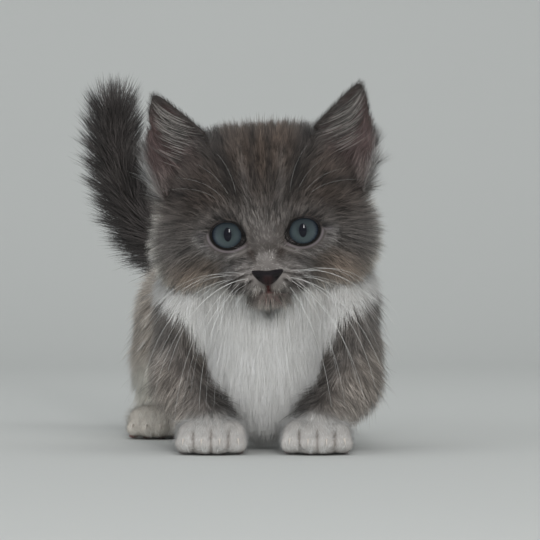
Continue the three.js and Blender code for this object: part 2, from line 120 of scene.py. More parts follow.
def to_head(points):
    """Points from the kitten's measures to the head's own."""
    return (points - HEAD_CENTRE) @ HEAD_TURN


def from_head(points):
    return np.asarray(points, float) @ HEAD_TURN.T + HEAD_CENTRE


def mirrored(side, point):
    x, y, z = point
    return (SIDES[side] * x, y, z)


def frame_shift():
    """From the kitten's measures to the frame, by the middle between the two eyes."""
    corners = [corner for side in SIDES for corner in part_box(f"eye_{side}")]
    between = sum(corners, Vector()) / len(corners) / MM
    return np.array(between) - from_head((0, *EYE_AT[1:]))


SHIFT = frame_shift() * (1, 1, 0)


def to_frame(points):
    return (np.asarray(points, float) + SHIFT) * MM


def from_frame(points):
    return np.asarray(points, float) / MM - SHIFT


def step(value, low, high):
    """Nought below low, one above high, and smooth between them."""
    t = np.clip((value - low) / (high - low), 0, 1)
    return t * t * (3 - 2 * t)


def bell(value, middle, width):
    """One at the middle, falling off to both sides."""
    return np.exp(-(((value - middle) / width) ** 2))


def mix(under, over, share):
    return under + (np.asarray(over) - under) * np.clip(share, 0, 1)[:, None]


def unit(vectors):
    return vectors / np.maximum(np.linalg.norm(vectors, axis=-1, keepdims=True), 1e-9)


def ripple(points, size, seed):
    """A soft, repeatable unevenness from -1 to 1, whose patches are about the given size."""
    chance = np.random.default_rng(seed)
    total = 0
    for _ in range(7):
        wave = unit(chance.normal(size=3)) * (2 * math.pi / size) * chance.uniform(0.5, 1.3)
        total = total + np.sin(points @ wave + chance.uniform(0, 2 * math.pi))
    return np.clip(total / 3.2, -1, 1)


# Forms of the flesh, each of which says how far points are outside it and gives balls that fill it


class Ball:
    def __init__(self, centre, radii):
        self.centre, self.radii = np.array(centre, float), np.array(radii, float)

    def distance(self, points):
        offset = (points - self.centre) / self.radii
        share = np.linalg.norm(offset, axis=1)
        slope = np.linalg.norm(offset / self.radii, axis=1)
        return share * (share - 1) / np.maximum(slope, 1e-6)

    def balls(self):
        return [(self.centre, self.radii)]


class Limb:
    """A rod that tapers from one radius to another."""

    def __init__(self, start, end, start_radius, end_radius):
        self.start, self.reach = np.array(start, float), np.subtract(end, start).astype(float)
        self.radii = (start_radius, end_radius)

    def distance(self, points):
        offset = points - self.start
        t = np.clip(offset @ self.reach / (self.reach @ self.reach), 0, 1)
        gap = np.linalg.norm(offset - t[:, None] * self.reach, axis=1)
        return gap - self.radii[0] - (self.radii[1] - self.radii[0]) * t

    def balls(self):
        count = max(2, int(np.linalg.norm(self.reach) / 2.5))
        stops = np.linspace(0, 1, count)
        radii = [self.radii[0] + (self.radii[1] - self.radii[0]) * t for t in stops]
        return [(self.start + t * self.reach, np.full(3, r)) for t, r in zip(stops, radii)]


def soft_union(softness, values):
    value = values[0]
    for other in values[1:]:
        h = np.maximum(softness - np.abs(value - other), 0) / softness
        value = np.minimum(value, other) - h * h * softness / 4
    return value


class Blend:
    """Forms joined with creases about as wide as the softness."""

    def __init__(self, softness, *forms):
        self.softness, self.forms = softness, forms

    def distance(self, points):
        return soft_union(self.softness, [form.distance(points) for form in self.forms])

    def balls(self):
        return [ball for form in self.forms for ball in form.balls()]


def both(make):
    return [make(side) for side in SIDES]


EYE_CENTRES = {side: np.array(mirrored(side, EYE_AT)) for side in SIDES}


HEAD = Blend(
    8,
    Ball((0, 5, 2), (38.5, 33, 28.6)),
    *both(lambda side: Ball(mirrored(side, (20.5, 2, -14)), (20.5, 26, 18))),
    Ball((0, -5, 7), (27, 23.5, 20)),
    Ball((0, -8, -15), (25, 21, 15)),
    Blend(
        6,
        Limb((0, -21, -7), (0, -29.8, -20.5), 8.4, 6.2),
        *both(lambda side: Ball(mirrored(side, (7, -25.8, -26)), (9.4, 9.6, 7))),
        Ball((0, -22.4, -32.4), (9.2, 8.4, 6)),
    ),
)
NECK = Blend(8, Ball((MIDLINE, 52, 62), (33, 28, 28)), Ball((MIDLINE, 45, 39), (24, 21, 31)))
TORSO = Blend(
    14,
    Ball((-4, 76, 53), (33, 34, 36)),
    Ball((-11, 108, 51), (33, 34, 34)),
    Ball((-17.5, 131, 54), (32.5, 28, 32)),
    Ball((-3, 62, 72), (23, 26, 18)),
)


def foreleg(side):
    out, x = SIDES[side], SHOULDER_X[side]
    wrist = FRONT_PAW_X[side] + out * 0.8
    return Blend(
        9,
        Ball((x, 56, 52), (15, 21, 25)),
        Limb((x + out * 2.8, 54, 36), (x + out * 2, 46, 25), 13, 12.4),
        Limb((x + out, 46, 26), (wrist, 27, 11), 12.8, 11.4),
    )


def hind_leg(side):
    out, x, ankle = SIDES[side], THIGH_X[side], HIND_PAW_X[side]
    return Blend(
        9,
        Ball((x, 126, 44), (14.5, 26, 26)),
        Ball((x + out * 2, 118, 31), (12.5, 17, 13)),
        Limb((ankle, 128, 22), (ankle, 122, 9), 11, 10.4),
    )


def paw(x, y, width):
    toes = []
    for place in TOES:
        tip = (x + place * width * 0.235, y - 11.2 + 1.3 * place * place, 4.1)
        knuckle = (x + place * width * 0.2, y - 2, 8)
        toes.append(Limb(tip, knuckle, width * 0.172, width * 0.165))
    return Blend(5, *toes, Ball((x, y + 2, 6), (width * 0.47, 12, 8)))


FORELEGS = both(foreleg)
HIND_LEGS = both(hind_leg)
FRONT_PAWS = both(lambda side: paw(FRONT_PAW_X[side], FRONT_PAW_Y, FRONT_PAW_WIDTH))
HIND_PAWS = both(lambda side: paw(HIND_PAW_X[side], HIND_PAW_Y, HIND_PAW_WIDTH))


def tail_points(count=60):
    """Places along the tail, on a curve through its line, evenly far apart."""
    line = np.array([2 * np.array(TAIL_LINE[0]) - TAIL_LINE[1], *TAIL_LINE])
    line = np.vstack([line, 2 * line[-1] - line[-2]])
    stops = []
    for a, b, c, d in zip(line, line[1:], line[2:], line[3:]):
        for t in np.linspace(0, 1, 20, endpoint=False):
            bend = (2 * a - 5 * b + 4 * c - d) * t * t + (3 * b - a - 3 * c + d) * t**3
            stops.append((2 * b + (c - a) * t + bend) / 2)
    stops = np.array([*stops, line[-2]])
    far = np.concatenate([[0], np.cumsum(np.linalg.norm(np.diff(stops, axis=0), axis=1))])
    even = np.linspace(0, far[-1], count)
    return np.stack([np.interp(even, far, stops[:, k]) for k in range(3)], 1)


TAIL_POINTS = tail_points()


def tail_form():
    stops = TAIL_POINTS[::4]
    radii = np.linspace(TAIL_RADIUS * 1.15, TAIL_RADIUS * 0.7, len(stops))
    rods = [Limb(a, b, ra, rb) for a, b, ra, rb in zip(stops, stops[1:], radii, radii[1:])]
    return Blend(3, *rods)


TAIL = tail_form()


# Ears, in the head's measures


def ear_axes(side):
    flip = np.array((SIDES[side], 1, 1))
    return [np.array(axis) * flip for axis in (EAR_ACROSS, EAR_TALL, EAR_FRONT)]


def ear_width(share, across):
    """Half its width at a share of its height, more at the foot of its inner edge."""
    width = EAR_HALF_WIDTH * np.maximum(1 - share, 0.02) ** 0.72 * np.minimum(0.82 + share, 1)
    return width * (1 + 0.22 * (1 - share) * (across < 0))


def ear_cup(share, across):
    """How far its edges stand in front of its middle."""
    return EAR_CUP * (1 - 0.45 * share) * across**2 * np.sqrt(np.maximum(1 - share, 0))


def ear_place(side, height, across, before):
    """A place on an ear. Across goes from -1 at its inner edge to 1, and before is in front of it."""
    height, across, before = (np.asarray(value, float) for value in (height, across, before))
    share = np.clip(height / EAR_HEIGHT, 0, 1)
    axis_across, axis_tall, axis_front = ear_axes(side)
    place = np.array(mirrored(side, EAR_ROOT)) + np.multiply.outer(height, axis_tall)
    place = place + (across * ear_width(share, across))[..., None] * axis_across
    return place + np.multiply.outer(ear_cup(share, across) + before, axis_front)


def on_ear(side, points):
    """Height, share across and distance in front of the ear's sheet, for points on the head."""
    axes = np.array(ear_axes(side)).T
    across, height, front = np.linalg.solve(axes, (points - mirrored(side, EAR_ROOT)).T)
    share = np.clip(height / EAR_HEIGHT, 0, 1)
    across = across / np.maximum(ear_width(share, across), 0.8)
    return height, across, front - ear_cup(share, np.clip(across, -1.1, 1.1))


def ear_distance(side, points):
    height, across, before = on_ear(side, points)
    share = np.clip(height / EAR_HEIGHT, 0, 1)
    thick = EAR_THICKNESS * (1.15 - 0.35 * share)
    sheet = np.abs(before) * 0.9 - thick
    edge = (np.abs(across) - 1) * np.maximum(ear_width(share, across), 0.8) * 0.8
    ends = np.maximum(height - EAR_HEIGHT, -7 - height)
    return -soft_union(1.2, [-sheet, -edge, -ends])


# Eyes, in the head's measures


def eye_share(side, points):
    """How far out points in front of an eye are, from 0 at its middle to 1 at the lids' edge."""
    turn = math.radians(EYE_TURN * SIDES[side])
    x, y, z = (points - EYE_CENTRES[side]).T
    u = (x * math.cos(turn) + z * math.sin(turn)) / EYE_OPENING[0]
    w = (z * math.cos(turn) - x * math.sin(turn)) / EYE_OPENING[1]
    w = w * np.where(w > 0, 1.08, 0.97)  # the lower lid hangs a little lower
    inner = step(-u * SIDES[side], 0.5, 1.25)
    w = w * (1 + 0.3 * inner) + 0.26 * inner
    u = u * (1 - 0.06 * inner)
    return np.where(y < 0, np.sqrt(u * u + w * w), 9.0)


def lower_lid(side, points):
    """One below an eye and at its outer corner, and nought above it."""
    x, _, z = (points - EYE_CENTRES[side]).T
    return step(0.35 * x * SIDES[side] - z, 0.5, 3.5)


def eye_rim(side, share, radius, count=72):
    """A closed line on the eyeball round its opening, at one share of eye_share."""
    centre = EYE_CENTRES[side]
    line = []
    for angle in np.linspace(0, 2 * math.pi, count, endpoint=False):
        way = np.array((math.cos(angle), 0, math.sin(angle)))
        reach = np.linspace(0.5, radius - 0.05, 160)
        flat = reach[:, None] * way
        flat[:, 1] = -np.sqrt(radius**2 - reach**2)
        line.append(centre + flat[np.argmin(np.abs(eye_share(side, centre + flat) - share))])
    line = np.array(line)
    for _ in range(3):
        line = (np.roll(line, 1, 0) + 2 * line + np.roll(line, -1, 0)) / 4
    return line


# The skin, under the coat


def face_share(q):
    """One on the short-haired front of the face, falling to nought at the cheeks and the crown."""
    far = np.linalg.norm((q - MUZZLE) * (1, 1, 0.9), axis=1)
    return 1 - step(far, 18, 46)


def head_depth(q):
    muzzle = 1 - step(np.linalg.norm(q - MUZZLE, axis=1), 8, 18)
    return 5.2 - 2.8 * face_share(q) - 1.2 * muzzle


LID_RADII = np.full(3, EYE_RADIUS + LID_THICKNESS)
PARTS = ("head", "ear", "neck", "torso", "foreleg", "hind_leg", "front_paw", "hind_paw", "tail")
PART_DEPTH = {"neck": 4.5, "torso": 6.5, "foreleg": 4, "hind_leg": 4.5, "front_paw": 1.3, "hind_paw": 1.3}
FLESH = {
    "neck": [NECK],
    "torso": [TORSO],
    "foreleg": FORELEGS,
    "hind_leg": HIND_LEGS,
    "front_paw": FRONT_PAWS,
    "hind_paw": HIND_PAWS,
}


def nearest_ear(q):
    return np.min([ear_distance(side, q) for side in SIDES], axis=0)


def part_distances(points):
    """How far points are outside the skin of each of PARTS."""
    q = to_head(points)
    flesh = [
        np.min([form.distance(points) for form in forms], axis=0) + PART_DEPTH[part]
        for part, forms in FLESH.items()
    ]
    return [HEAD.distance(q) + head_depth(q), nearest_ear(q), *flesh, TAIL.distance(points)]


def skin_distance(points):
    q = to_head(points)
    head, ears, *trunk, front_paws, hind_paws, tail = part_distances(points)
    lids = [Ball(centre, LID_RADII).distance(q) for centre in EYE_CENTRES.values()]
    face = soft_union(5, [head, *lids])
    body = soft_union(WEAVE, [face, *trunk, tail])
    body = soft_union(3, [body, front_paws, hind_paws])
    return soft_union(4, [body, ears])


def settle(points, rounds):
    """Moves points onto the skin."""
    probe, longest_move = 0.1, 2
    for _ in range(rounds):
        value = skin_distance(points)
        ahead = [skin_distance(points + probe * axis) for axis in np.eye(3)]
        slope = (np.array(ahead).T - value[:, None]) / probe
        move = value / np.maximum((slope**2).sum(1), 0.2)
        points = points - np.clip(move, -longest_move, longest_move)[:, None] * slope
    return points


def relaxed(points, edges, share, rounds):
    """Evens out a mesh's vertices."""
    count = len(points)
    valence = np.maximum(np.bincount(edges.ravel(), minlength=count), 1)[:, None]
    for _ in range(rounds):
        total = np.empty_like(points)
        for k in range(3):
            total[:, k] = np.bincount(edges[:, 0], points[edges[:, 1], k], count)
            total[:, k] += np.bincount(edges[:, 1], points[edges[:, 0], k], count)
        points = points + share * (total / valence - points)
    return points


def mesh_points(mesh):
    flat = np.empty(len(mesh.vertices) * 3)
    mesh.vertices.foreach_get("co", flat)
    return from_frame(flat.reshape(-1, 3))


def mesh_normals(mesh):
    flat = np.empty(len(mesh.vertices) * 3)
    mesh.vertices.foreach_get("normal", flat)
    return flat.reshape(-1, 3)


def set_mesh_points(mesh, points):
    mesh.vertices.foreach_set("co", to_frame(points).ravel())
    mesh.update()


def mesh_edges(mesh):
    flat = np.empty(len(mesh.edges) * 2, np.int64)
    mesh.edges.foreach_get("vertices", flat)
    return flat.reshape(-1, 2)


def link_new(name, data):
    """A new object in the scene, for a mesh, a light or a camera."""
    made = bpy.data.objects.new(name, data)
    bpy.context.scene.collection.objects.link(made)
    return made


def shade_smooth(mesh):
    mesh.polygons.foreach_set("use_smooth", np.full(len(mesh.polygons), True))
    mesh.update()


def object_from(name, bm):
    """Ends a bmesh as an object, with its faces pointing out."""
    bmesh.ops.recalc_face_normals(bm, faces=bm.faces)
    mesh = bpy.data.meshes.new(name)
    bm.to_mesh(mesh)
    bm.free()
    shade_smooth(mesh)
    return link_new(name, mesh)


def dress(piece, material):
    """Gives a piece its finish and its slot, and lets it ride on the kitten."""
    piece.data.materials.append(material)
    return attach(piece, "root")


FRAME_PLACE = Matrix.Diagonal((MM, MM, MM, 1)) @ Matrix.Translation(SHIFT)
HEAD_PLACE = Matrix.Translation(HEAD_CENTRE) @ Matrix.Rotation(math.radians(-HEAD_ROLL), 4, "Y")


def add_ball(bm, centre, radii, on_head=False, detail=3):
    place = FRAME_PLACE @ (HEAD_PLACE if on_head else Matrix.Identity(4))
    place = place @ Matrix.Translation(centre) @ Matrix.Diagonal((*radii, 1))
    return bmesh.ops.create_icosphere(bm, subdivisions=detail, radius=1, matrix=place)["verts"]


def add_ear(bm, side):
    """A ball drawn out into the ear's thin cupped leaf."""
    verts = bmesh.ops.create_uvsphere(bm, u_segments=40, v_segments=40, radius=1)["verts"]
    for vert in verts:
        x, y, z = vert.co
        ring = max(math.hypot(x, y), 1e-6)
        height = -6 + (EAR_HEIGHT + 6) * (z + 1) / 2  # its foot lies in the head
        swell = 0 if abs(z) > 0.999 else 1  # the poles stay in the middle
        thick = (EAR_THICKNESS + 0.35) * min(1, ring * 3)
        place = ear_place(side, height, swell * x / ring, swell * y / ring * thick)
        vert.co = to_frame(from_head(place))


def rough_flesh():
    """Balls and ears joined into one even surface, a little inside the coat."""
    bm = bmesh.new()
    for part, forms in FLESH.items():
        for centre, radii in Blend(0, *forms).balls():
            add_ball(bm, centre, np.maximum(radii - PART_DEPTH[part], 1.5))
    for centre, radii in TAIL.balls():
        add_ball(bm, centre, radii)
    for centre, radii in HEAD.balls():
        add_ball(bm, centre, radii - 3, on_head=True)
    for side in SIDES:
        add_ball(bm, EYE_CENTRES[side], LID_RADII, on_head=True)
        add_ear(bm, side)
    rough = object_from("rough_flesh", bm)
    remesh = rough.modifiers.new("even", "REMESH")
    remesh.mode = "VOXEL"
    remesh.voxel_size = VOXEL * MM
    shown = rough.evaluated_get(bpy.context.evaluated_depsgraph_get())
    mesh = bpy.data.meshes.new_from_object(shown)
    bpy.data.objects.remove(rough)
    return mesh


def unwrap(piece, name):
    """Lays the piece's own surface out flat in a UV map."""
    piece.data.uv_layers.new(name=name)
    bpy.context.view_layer.objects.active = piece
    piece.select_set(True)
    bpy.ops.object.mode_set(mode="EDIT")
    bpy.ops.mesh.select_all(action="SELECT")
    bpy.ops.uv.smart_project(angle_limit=math.radians(66), island_margin=0.002)
    bpy.ops.object.mode_set(mode="OBJECT")
    piece.select_set(False)


def refine(mesh, wanted):
    """Splits the faces where wanted, a test of the head's measures, holds for all their corners."""
    inside = wanted(to_head(mesh_points(mesh)))
    bm = bmesh.new()
    bm.from_mesh(mesh)
    bm.verts.ensure_lookup_table()
    edges = {edge for face in bm.faces if all(inside[v.index] for v in face.verts) for edge in face.edges}
    bmesh.ops.subdivide_edges(bm, edges=list(edges), cuts=1, use_grid_fill=True)
    bm.to_mesh(mesh)
    bm.free()


def is_face(q):
    x, y, z = q.T
    return (y < -8) & (z < 14) & (z > -40) & (np.abs(x) < 30)


def is_fine_face(q):
    x, y, z = q.T
    eyes = np.any([eye_share(side, q) < 1.75 for side in SIDES], axis=0)
    return eyes & (y < -18) | (np.abs(x) < 13) & (y < -25) & (z < -17)


def is_ear(q):
    return (nearest_ear(q) < 1.5) & (q[:, 2] > 10)


def mouth_line(share):
    """x and z of the line of the lips, from its middle to a corner."""
    return share * MOUTH_HALF_WIDTH, MOUTH_HEIGHT - 1.1 * math.sin(share * math.pi) + 1.2 * share


def mouth_gap(q):
    """How far points on the face are from the line of the mouth and the groove above it."""
    x, y, z = q.T
    line = [mouth_line(share) for share in np.linspace(0, 1, 12)]
    gaps = [np.hypot(np.abs(x) - lx, z - lz) for lx, lz in line]
    gaps += [np.hypot(x, z - lz) for lz in np.linspace(MOUTH_HEIGHT, -28.5, 6)]
    return np.where(y < -22, np.min(gaps, axis=0), 99.0)


def shape_face(points):
    """Opens the lids and draws the mouth."""
    q = to_head(points)
    for side, centre in EYE_CENTRES.items():
        share = eye_share(side, q)
        sunk = centre + unit(q - centre) * (EYE_RADIUS - SOCKET_DEPTH)
        near = (share > 0.9) & (share < 1.12)
        factor = np.where(share < 1, 0.94, 1.06) / np.maximum(share, 0.01)
        q = np.where(near[:, None], centre + (q - centre) * (factor**0.6)[:, None], q)
        q = np.where((share < 1)[:, None], sunk, q)
    width, depth = MOUTH_GROOVE
    inward = unit(np.array((0, -8, -24)) - q)
    return from_head(q + inward * (depth * bell(mouth_gap(q), 0, width))[:, None])


def make_skin():
    mesh = rough_flesh()
    piece = link_new("skin", mesh)
    edges = mesh_edges(mesh)
    points = settle(relaxed(mesh_points(mesh), edges, 0.5, 3), 3)
    points = settle(relaxed(points, edges, 0.4, 2), 2)
    points[:, 2] = np.maximum(points[:, 2], SKIN_CLEARANCE)
    set_mesh_points(mesh, points)
    unwrap(piece, "OFBake")
    for wanted in (is_ear, is_face, is_fine_face):
        refine(mesh, wanted)
    points = mesh_points(mesh)
    ears = is_ear(to_head(points))
    points[ears] = settle(relaxed(points, mesh_edges(mesh), 0.4, 2)[ears], 3)
    face = is_face(to_head(points))
    points[face] = settle(relaxed(points, mesh_edges(mesh), 0.5, 2)[face], 2)
    points[face] = shape_face(points[face])
    set_mesh_points(mesh, points)
    shade_smooth(mesh)
    return piece


# What the coat asks about a place


class Spots:
    """Places on the skin with their normals, and how much each belongs to each of PARTS."""

    def __init__(self, points, normals):
        self.points, self.normals = points, normals
        self.head = to_head(points)
        distances = np.array(part_distances(points))
        near = np.exp((distances.min(0) - distances) / 2.5)
        self.share = dict(zip(PARTS, near / near.sum(0)))

    def blend(self, values):
        """A value for each place, from one value or array for each part."""
        total = 0
        for part, value in values.items():
            share = self.share[part]
            total = total + (share[:, None] if np.ndim(value) == 2 else share) * value
        return total


def tail_place(points):
    """The share of the tail's length nearest to each point, and the tail's direction there."""
    gaps = np.linalg.norm(points[:, None] - TAIL_POINTS[None, ::2], axis=2)
    best = gaps.argmin(1)
    ways = unit(np.gradient(TAIL_POINTS[::2], axis=0))
    return best / (len(TAIL_POINTS[::2]) - 1), ways[best]


def towards(points, *way):
    return np.broadcast_to(np.array(way, float), points.shape).copy()


def bridge_share(q):
    """One on the smooth bridge of the nose."""
    x, y, z = q.T
    return bell(x, 0, 6) * step(-z, 4, 13) * step(-y, 20, 24)


def temple_share(q):
    """One below the outer root of each ear, where long hair rises to cover it."""
    x, y, z = q.T
    return bell(np.abs(x), 35, 6) * bell(z, 3, 8) * step(y, -22, -8)


def pad_fringe(q):
    """One along the lower edge of the whisker pads."""
    x, y, z = q.T
    return bell(np.abs(x), 12, 4.5) * bell(z, -29.5, 4) * step(-y, 18, 24)


def chin_share(q):
    """One on the chin, below the lips."""
    x, y, z = q.T
    return step(-z, 27.5, 32) * bell(x, 0, 11) * step(-y, 12, 18)


def head_lie(q):
    """Back from the nose, out from the eyes, and down on the cheeks and the chin."""
    x, _, z = q.T
    way = unit(q - (0, -37, -21))
    cheek = step(np.abs(x), 12, 28) * step(-z, -6, 10)
    way[:, 1] += 0.25 * cheek
    way[:, 2] += 0.35 * step(z, 6, 20) - 0.75 * cheek - 0.7 * pad_fringe(q)
    way += chin_share(q)[:, None] * (np.outer(0.05 * x, (1, 0, 0)) + (0, 0.1, -0.8))
    way += temple_share(q)[:, None] * (np.outer(0.4 * np.sign(x), (1, 0, 0)) + (0, -0.2, 1.1))
    for centre in EYE_CENTRES.values():
        offset = q - centre
        away = bell(np.linalg.norm(offset, axis=1), 7.5, 4)
        way += (0.9 * away)[:, None] * unit(offset)
    return unit(way)


def ear_lie(q):
    """Up the ear, and on its inside across to the outer edge too."""
    lies = []
    for side in SIDES:
        axis_across, axis_tall, _ = ear_axes(side)
        _, across, before = on_ear(side, q)
        out = np.where(before > 0.3, 0.54 * (1 - np.clip(across, -1, 1)), 0.25 * across)
        lies.append(axis_tall + out[:, None] * axis_across)
    return unit(np.where(q[:, :1] > 0, lies[1], lies[0]))


def lie_of(spots):
    """The way the hair lies at each place, along the skin."""
    p, q, normals = spots.points, spots.head, spots.normals
    x, y, _ = p.T
    breast = towards(p, 0, -0.05, -1) + step(y, 50, 66)[:, None] * (0, 1.2, 0.3)
    breast[:, 0] = (MIDLINE - x) * 0.012
    body = towards(p, 0, 1, -0.4) + step(y, 132, 152)[:, None] * (0, -0.6, -0.9)
    way = spots.blend(
        {
            "head": head_lie(q) @ HEAD_TURN.T,
            "ear": ear_lie(q) @ HEAD_TURN.T,
            "neck": unit(breast),
            "torso": unit(body),
            "foreleg": towards(p, 0, 0.25, -1),
            "hind_leg": towards(p, 0, 0.4, -1),
            "front_paw": towards(p, 0, -1, -0.4),
            "hind_paw": towards(p, 0, -1, -0.4),
            "tail": tail_place(p)[1],
        }
    )
    return unit(way - (way * normals).sum(1)[:, None] * normals)


def length_of(spots):
    """The hair's length in millimetres."""
    q = spots.head
    x, _, z = q.T
    muzzle = 1 - step(np.linalg.norm(q - MUZZLE, axis=1), 7, 17)
    cheek = step(np.abs(x), 20, 32) * step(-z, -14, 6)
    beside = step(z, 10, 20) * step(np.abs(x), 4, 15)
    head = 8.4 - 3.7 * face_share(q) - 2.4 * muzzle + 4.2 * cheek + 2.8 * beside + 7 * temple_share(q)
    head = head * (1 - 0.45 * bridge_share(q)) + 3 * pad_fringe(q) + 4 * chin_share(q)
    ear = 3.6 + 6 * (1 - step(z, 16, 30))
    _, y, z = spots.points.T
    wrist = step(z, 7, 13)
    along, _ = tail_place(spots.points)
    return spots.blend(
        {
            "head": head,
            "ear": ear,
            "neck": 15.5 - 3 * step(y, 52, 66),
            "torso": 12.5 + 3 * step(-z, -34, -20),
            "foreleg": 8.5 + 2 * step(y, 44, 60),
            "hind_leg": 9.5 + 2 * step(y, 126, 142),
            "front_paw": 4.2 + 3 * wrist,
            "hind_paw": 4.6 + 3 * wrist,
            "tail": 12 + 6 * step(along, 0, 0.35),
        }
    )


STANDS = {  # the angles of each part's hair at its root and at its tip, in degrees
    "ear": (24, 8),
    "neck": (34, 8),
    "torso": (36, 8),
    "foreleg": (36, 14),
    "hind_leg": (36, 12),
    "front_paw": (32, 7),
    "hind_paw": (32, 7),
    "tail": (46, 24),
}


def stand_of(spots):
    """The angles, in degrees, at which the hair leaves the skin and at which it ends."""
    q = spots.head
    face, crown = face_share(q), step(q[:, 2], 10, 24)
    head = (44 - 23 * face + 16 * crown - 9 * bridge_share(q), 26 - 25 * face + 30 * crown)
    stands = {"head": head, **STANDS}
    return [spots.blend({part: stands[part][end] for part in PARTS}) for end in (0, 1)]


# Markings, with some painted light and shade, as the share of the light that the hair gives back

SLATE = np.array((0.138, 0.126, 0.118))
DARK_SLATE = np.array((0.050, 0.044, 0.041))
PALE_SLATE = np.array((0.30, 0.285, 0.275))
FAWN = np.array((0.26, 0.205, 0.165))
BROWN = np.array((0.100, 0.072, 0.055))
WHITE = np.array((0.88, 0.875, 0.855))
SMOKE = np.array((0.052, 0.046, 0.044))
NOSE_CHARCOAL = np.array((0.010, 0.008, 0.010))
NOSE_BROWN = np.array((0.034, 0.014, 0.014))
ROSE = np.array((0.34, 0.19, 0.18))


# painted light: a pale warm grey that lightens the right flank and the outer sides of the legs
PAINTED_SIDE_LIGHT = PALE_SLATE * (2.1, 1.95, 1.75)


def painted(colour, layers):
    """Lays colours over one, each by its share at each place."""
    for over, share in layers:
        colour = mix(colour, over, share)
    return colour


def head_markings(q):
    """Striped brow, pale bridge, dark tear lines, fawn cheeks, freckled pads and a white jaw."""
    x, y, z = q.T
    aside = np.abs(x)
    high = step(z, -13, 4)
    stripes = bell(aside, 8.5 + 0.3 * z, 2.9) * step(z, -6, 4) * (1 - step(z, 19, 29))
    stripes += 0.8 * bell(aside, 2.6, 1.3) * step(z, 0, 8) * (1 - step(z, 20, 28))
    stripes += 0.7 * bell(z, 9 - 0.2 * aside, 1.8) * step(aside, 14, 20)
    between = bell(aside, 5 + 0.1 * z, 1.3) * step(z, -8, 0) * (1 - step(z, 12, 20))
    ridge = 3 + 0.28 * np.maximum(-z - 17, 0)
    bridge = step(-z, 16, 18.5) * (1 - step(-z, 28, 30)) * (y < -18)
    tear = bell(aside, 6 + 0.45 * (z + 16), 1.6) * bell(z, -17, 4.5) * (y < -18)
    under = bell(z, -21.9 + 0.08 * aside, 2.5) * step(aside, 7, 11) * (1 - step(aside, 24, 30))
    low_cheek = step(-z, 13, 25) * step(aside, 12, 22)
    fringe = step(aside, 29, 37) * step(y, -18, 0) * (1 - step(z, 4, 16))
    rows = step(np.sin((z + 0.2 * aside) * 2.6 + 0.8 * ripple(q, 6, 9)), 0, 0.6)
    freckles = rows * step(aside, 4.5, 6.5) * (1 - step(aside, 17, 21)) * bell(z, -26.5, 4)
    edge = bell(aside, 12.5, 5) * bell(z, -28.6 + 0.15 * (aside - 8), 2.8) * (y < -18)
    chin = chin_share(q) * (1 - step(aside, 6, 10))
    gap = mouth_gap(q)
    throat = step(-z - 4.6 * step(-y, 19, 25), 30.5, 32.5) * (1 - step(aside, 20, 30))
    jaw = step(-z - 0.05 * x, 26, 28.5) * step(aside, 14, 18)
    layers = [
        (DARK_SLATE * (0.9, 0.8, 0.73), 0.85 * high + 0.2 * ripple(q, 20, 3)),
        (BROWN * 0.72, 0.6 * high * step(ripple(q, 24, 8), -0.5, 0.5) * bell(x, 7, 20)),
        (DARK_SLATE * 0.35, 0.9 * stripes * (y < 6)),
        (PALE_SLATE * 0.6, 0.2 * between * (y < 0)),
        (PALE_SLATE * 0.8, 0.35 * bell(x, 0, 4.5) * bell(z, -11, 4.5) * (y < -15)),
        (DARK_SLATE, 0.5 * bell(x, 0, 3.5) * bell(z, -15, 1.6) * (y < -18)),
        (DARK_SLATE * 0.6, 0.9 * bell(aside, ridge + 1.4, 1.2) * bridge),
        (PALE_SLATE * 0.8, 0.9 * (1 - step(aside, ridge - 0.6, ridge + 0.4)) * bridge),
        (DARK_SLATE * (0.7, 0.55, 0.48), 0.9 * tear),
        (DARK_SLATE * 0.75, 0.85 * under),
        (FAWN * 1.1, low_cheek * (0.75 + 0.25 * ripple(q, 12, 5))),
        (WHITE * (0.72, 0.7, 0.65), 0.8 * fringe),
        (PALE_SLATE * 1.2, 0.9 * bell(aside, 8, 8) * bell(z, -26.5, 5.5) * (y < -21)),
        (DARK_SLATE * (0.4, 0.34, 0.3), freckles * (y < -20)),
        (DARK_SLATE * (0.5, 0.4, 0.35), edge * (0.95 + 0.6 * ripple(q, 3.5, 16))),
        (PALE_SLATE * (1.02, 0.98, 0.92), 0.85 * chin),
        (DARK_SLATE, 0.35 * chin * step(ripple(q, 3, 15), 0.1, 0.5) * (z > -35)),
        (DARK_SLATE * (0.6, 0.5, 0.45), 0.7 * bell(gap, 0, 0.9) * (1 - step(aside, 8, 12))),
        (ROSE * (0.42, 0.26, 0.27), 0.9 * bell(gap, 0, 0.75) * bell(x, 0, 2.2)),
    ]
    for side in SIDES:
        share, below = eye_share(side, q), lower_lid(side, q)
        layers += [
            (PALE_SLATE, 0.7 * bell(share, 1.5, 0.13) * below * (y < -12)),
            (PALE_SLATE * (0.85, 0.8, 0.9), 0.9 * bell(share, 1.2, 0.08) * below),
            (SMOKE * 0.22, 1 - step(share, 1.05, 1.14)),
        ]
    return painted(SLATE * 0.74, [*layers, (WHITE, np.maximum(throat, 0.9 * jaw))])


def ear_markings(q):
    """Rosy in the cup, dark along the rim and pale at the foot of the outer edge."""
    layers = []
    for side, out in SIDES.items():
        height, across, before = on_ear(side, q)
        mine = np.sign(q[:, 0]) == out
        rim = np.clip(step(np.abs(across), 0.72, 0.98) + step(height, 22, 30), 0, 1)
        pale = step(across, 0.7, 1) * (1 - step(height, 4, 16))
        layers += [
            (ROSE * (0.27, 0.32, 0.33), 0.85 * step(before, 0.1, 0.7) * mine * (1 - rim)),
            (DARK_SLATE * 0.8, 0.85 * rim * mine),
            (WHITE * 0.6, 0.7 * pale * mine),
        ]
    return painted(SLATE * 0.85, layers)


def beyond_bib(p):
    """How far places lie to the side of the edge of the white on the breast."""
    edge = np.interp(p[:, 2], (4, 16, 27, 39, 50, 58, 66), (7, 9.5, 14.5, 22, 29, 36, 44))
    return np.abs(p[:, 0] - MIDLINE) - edge


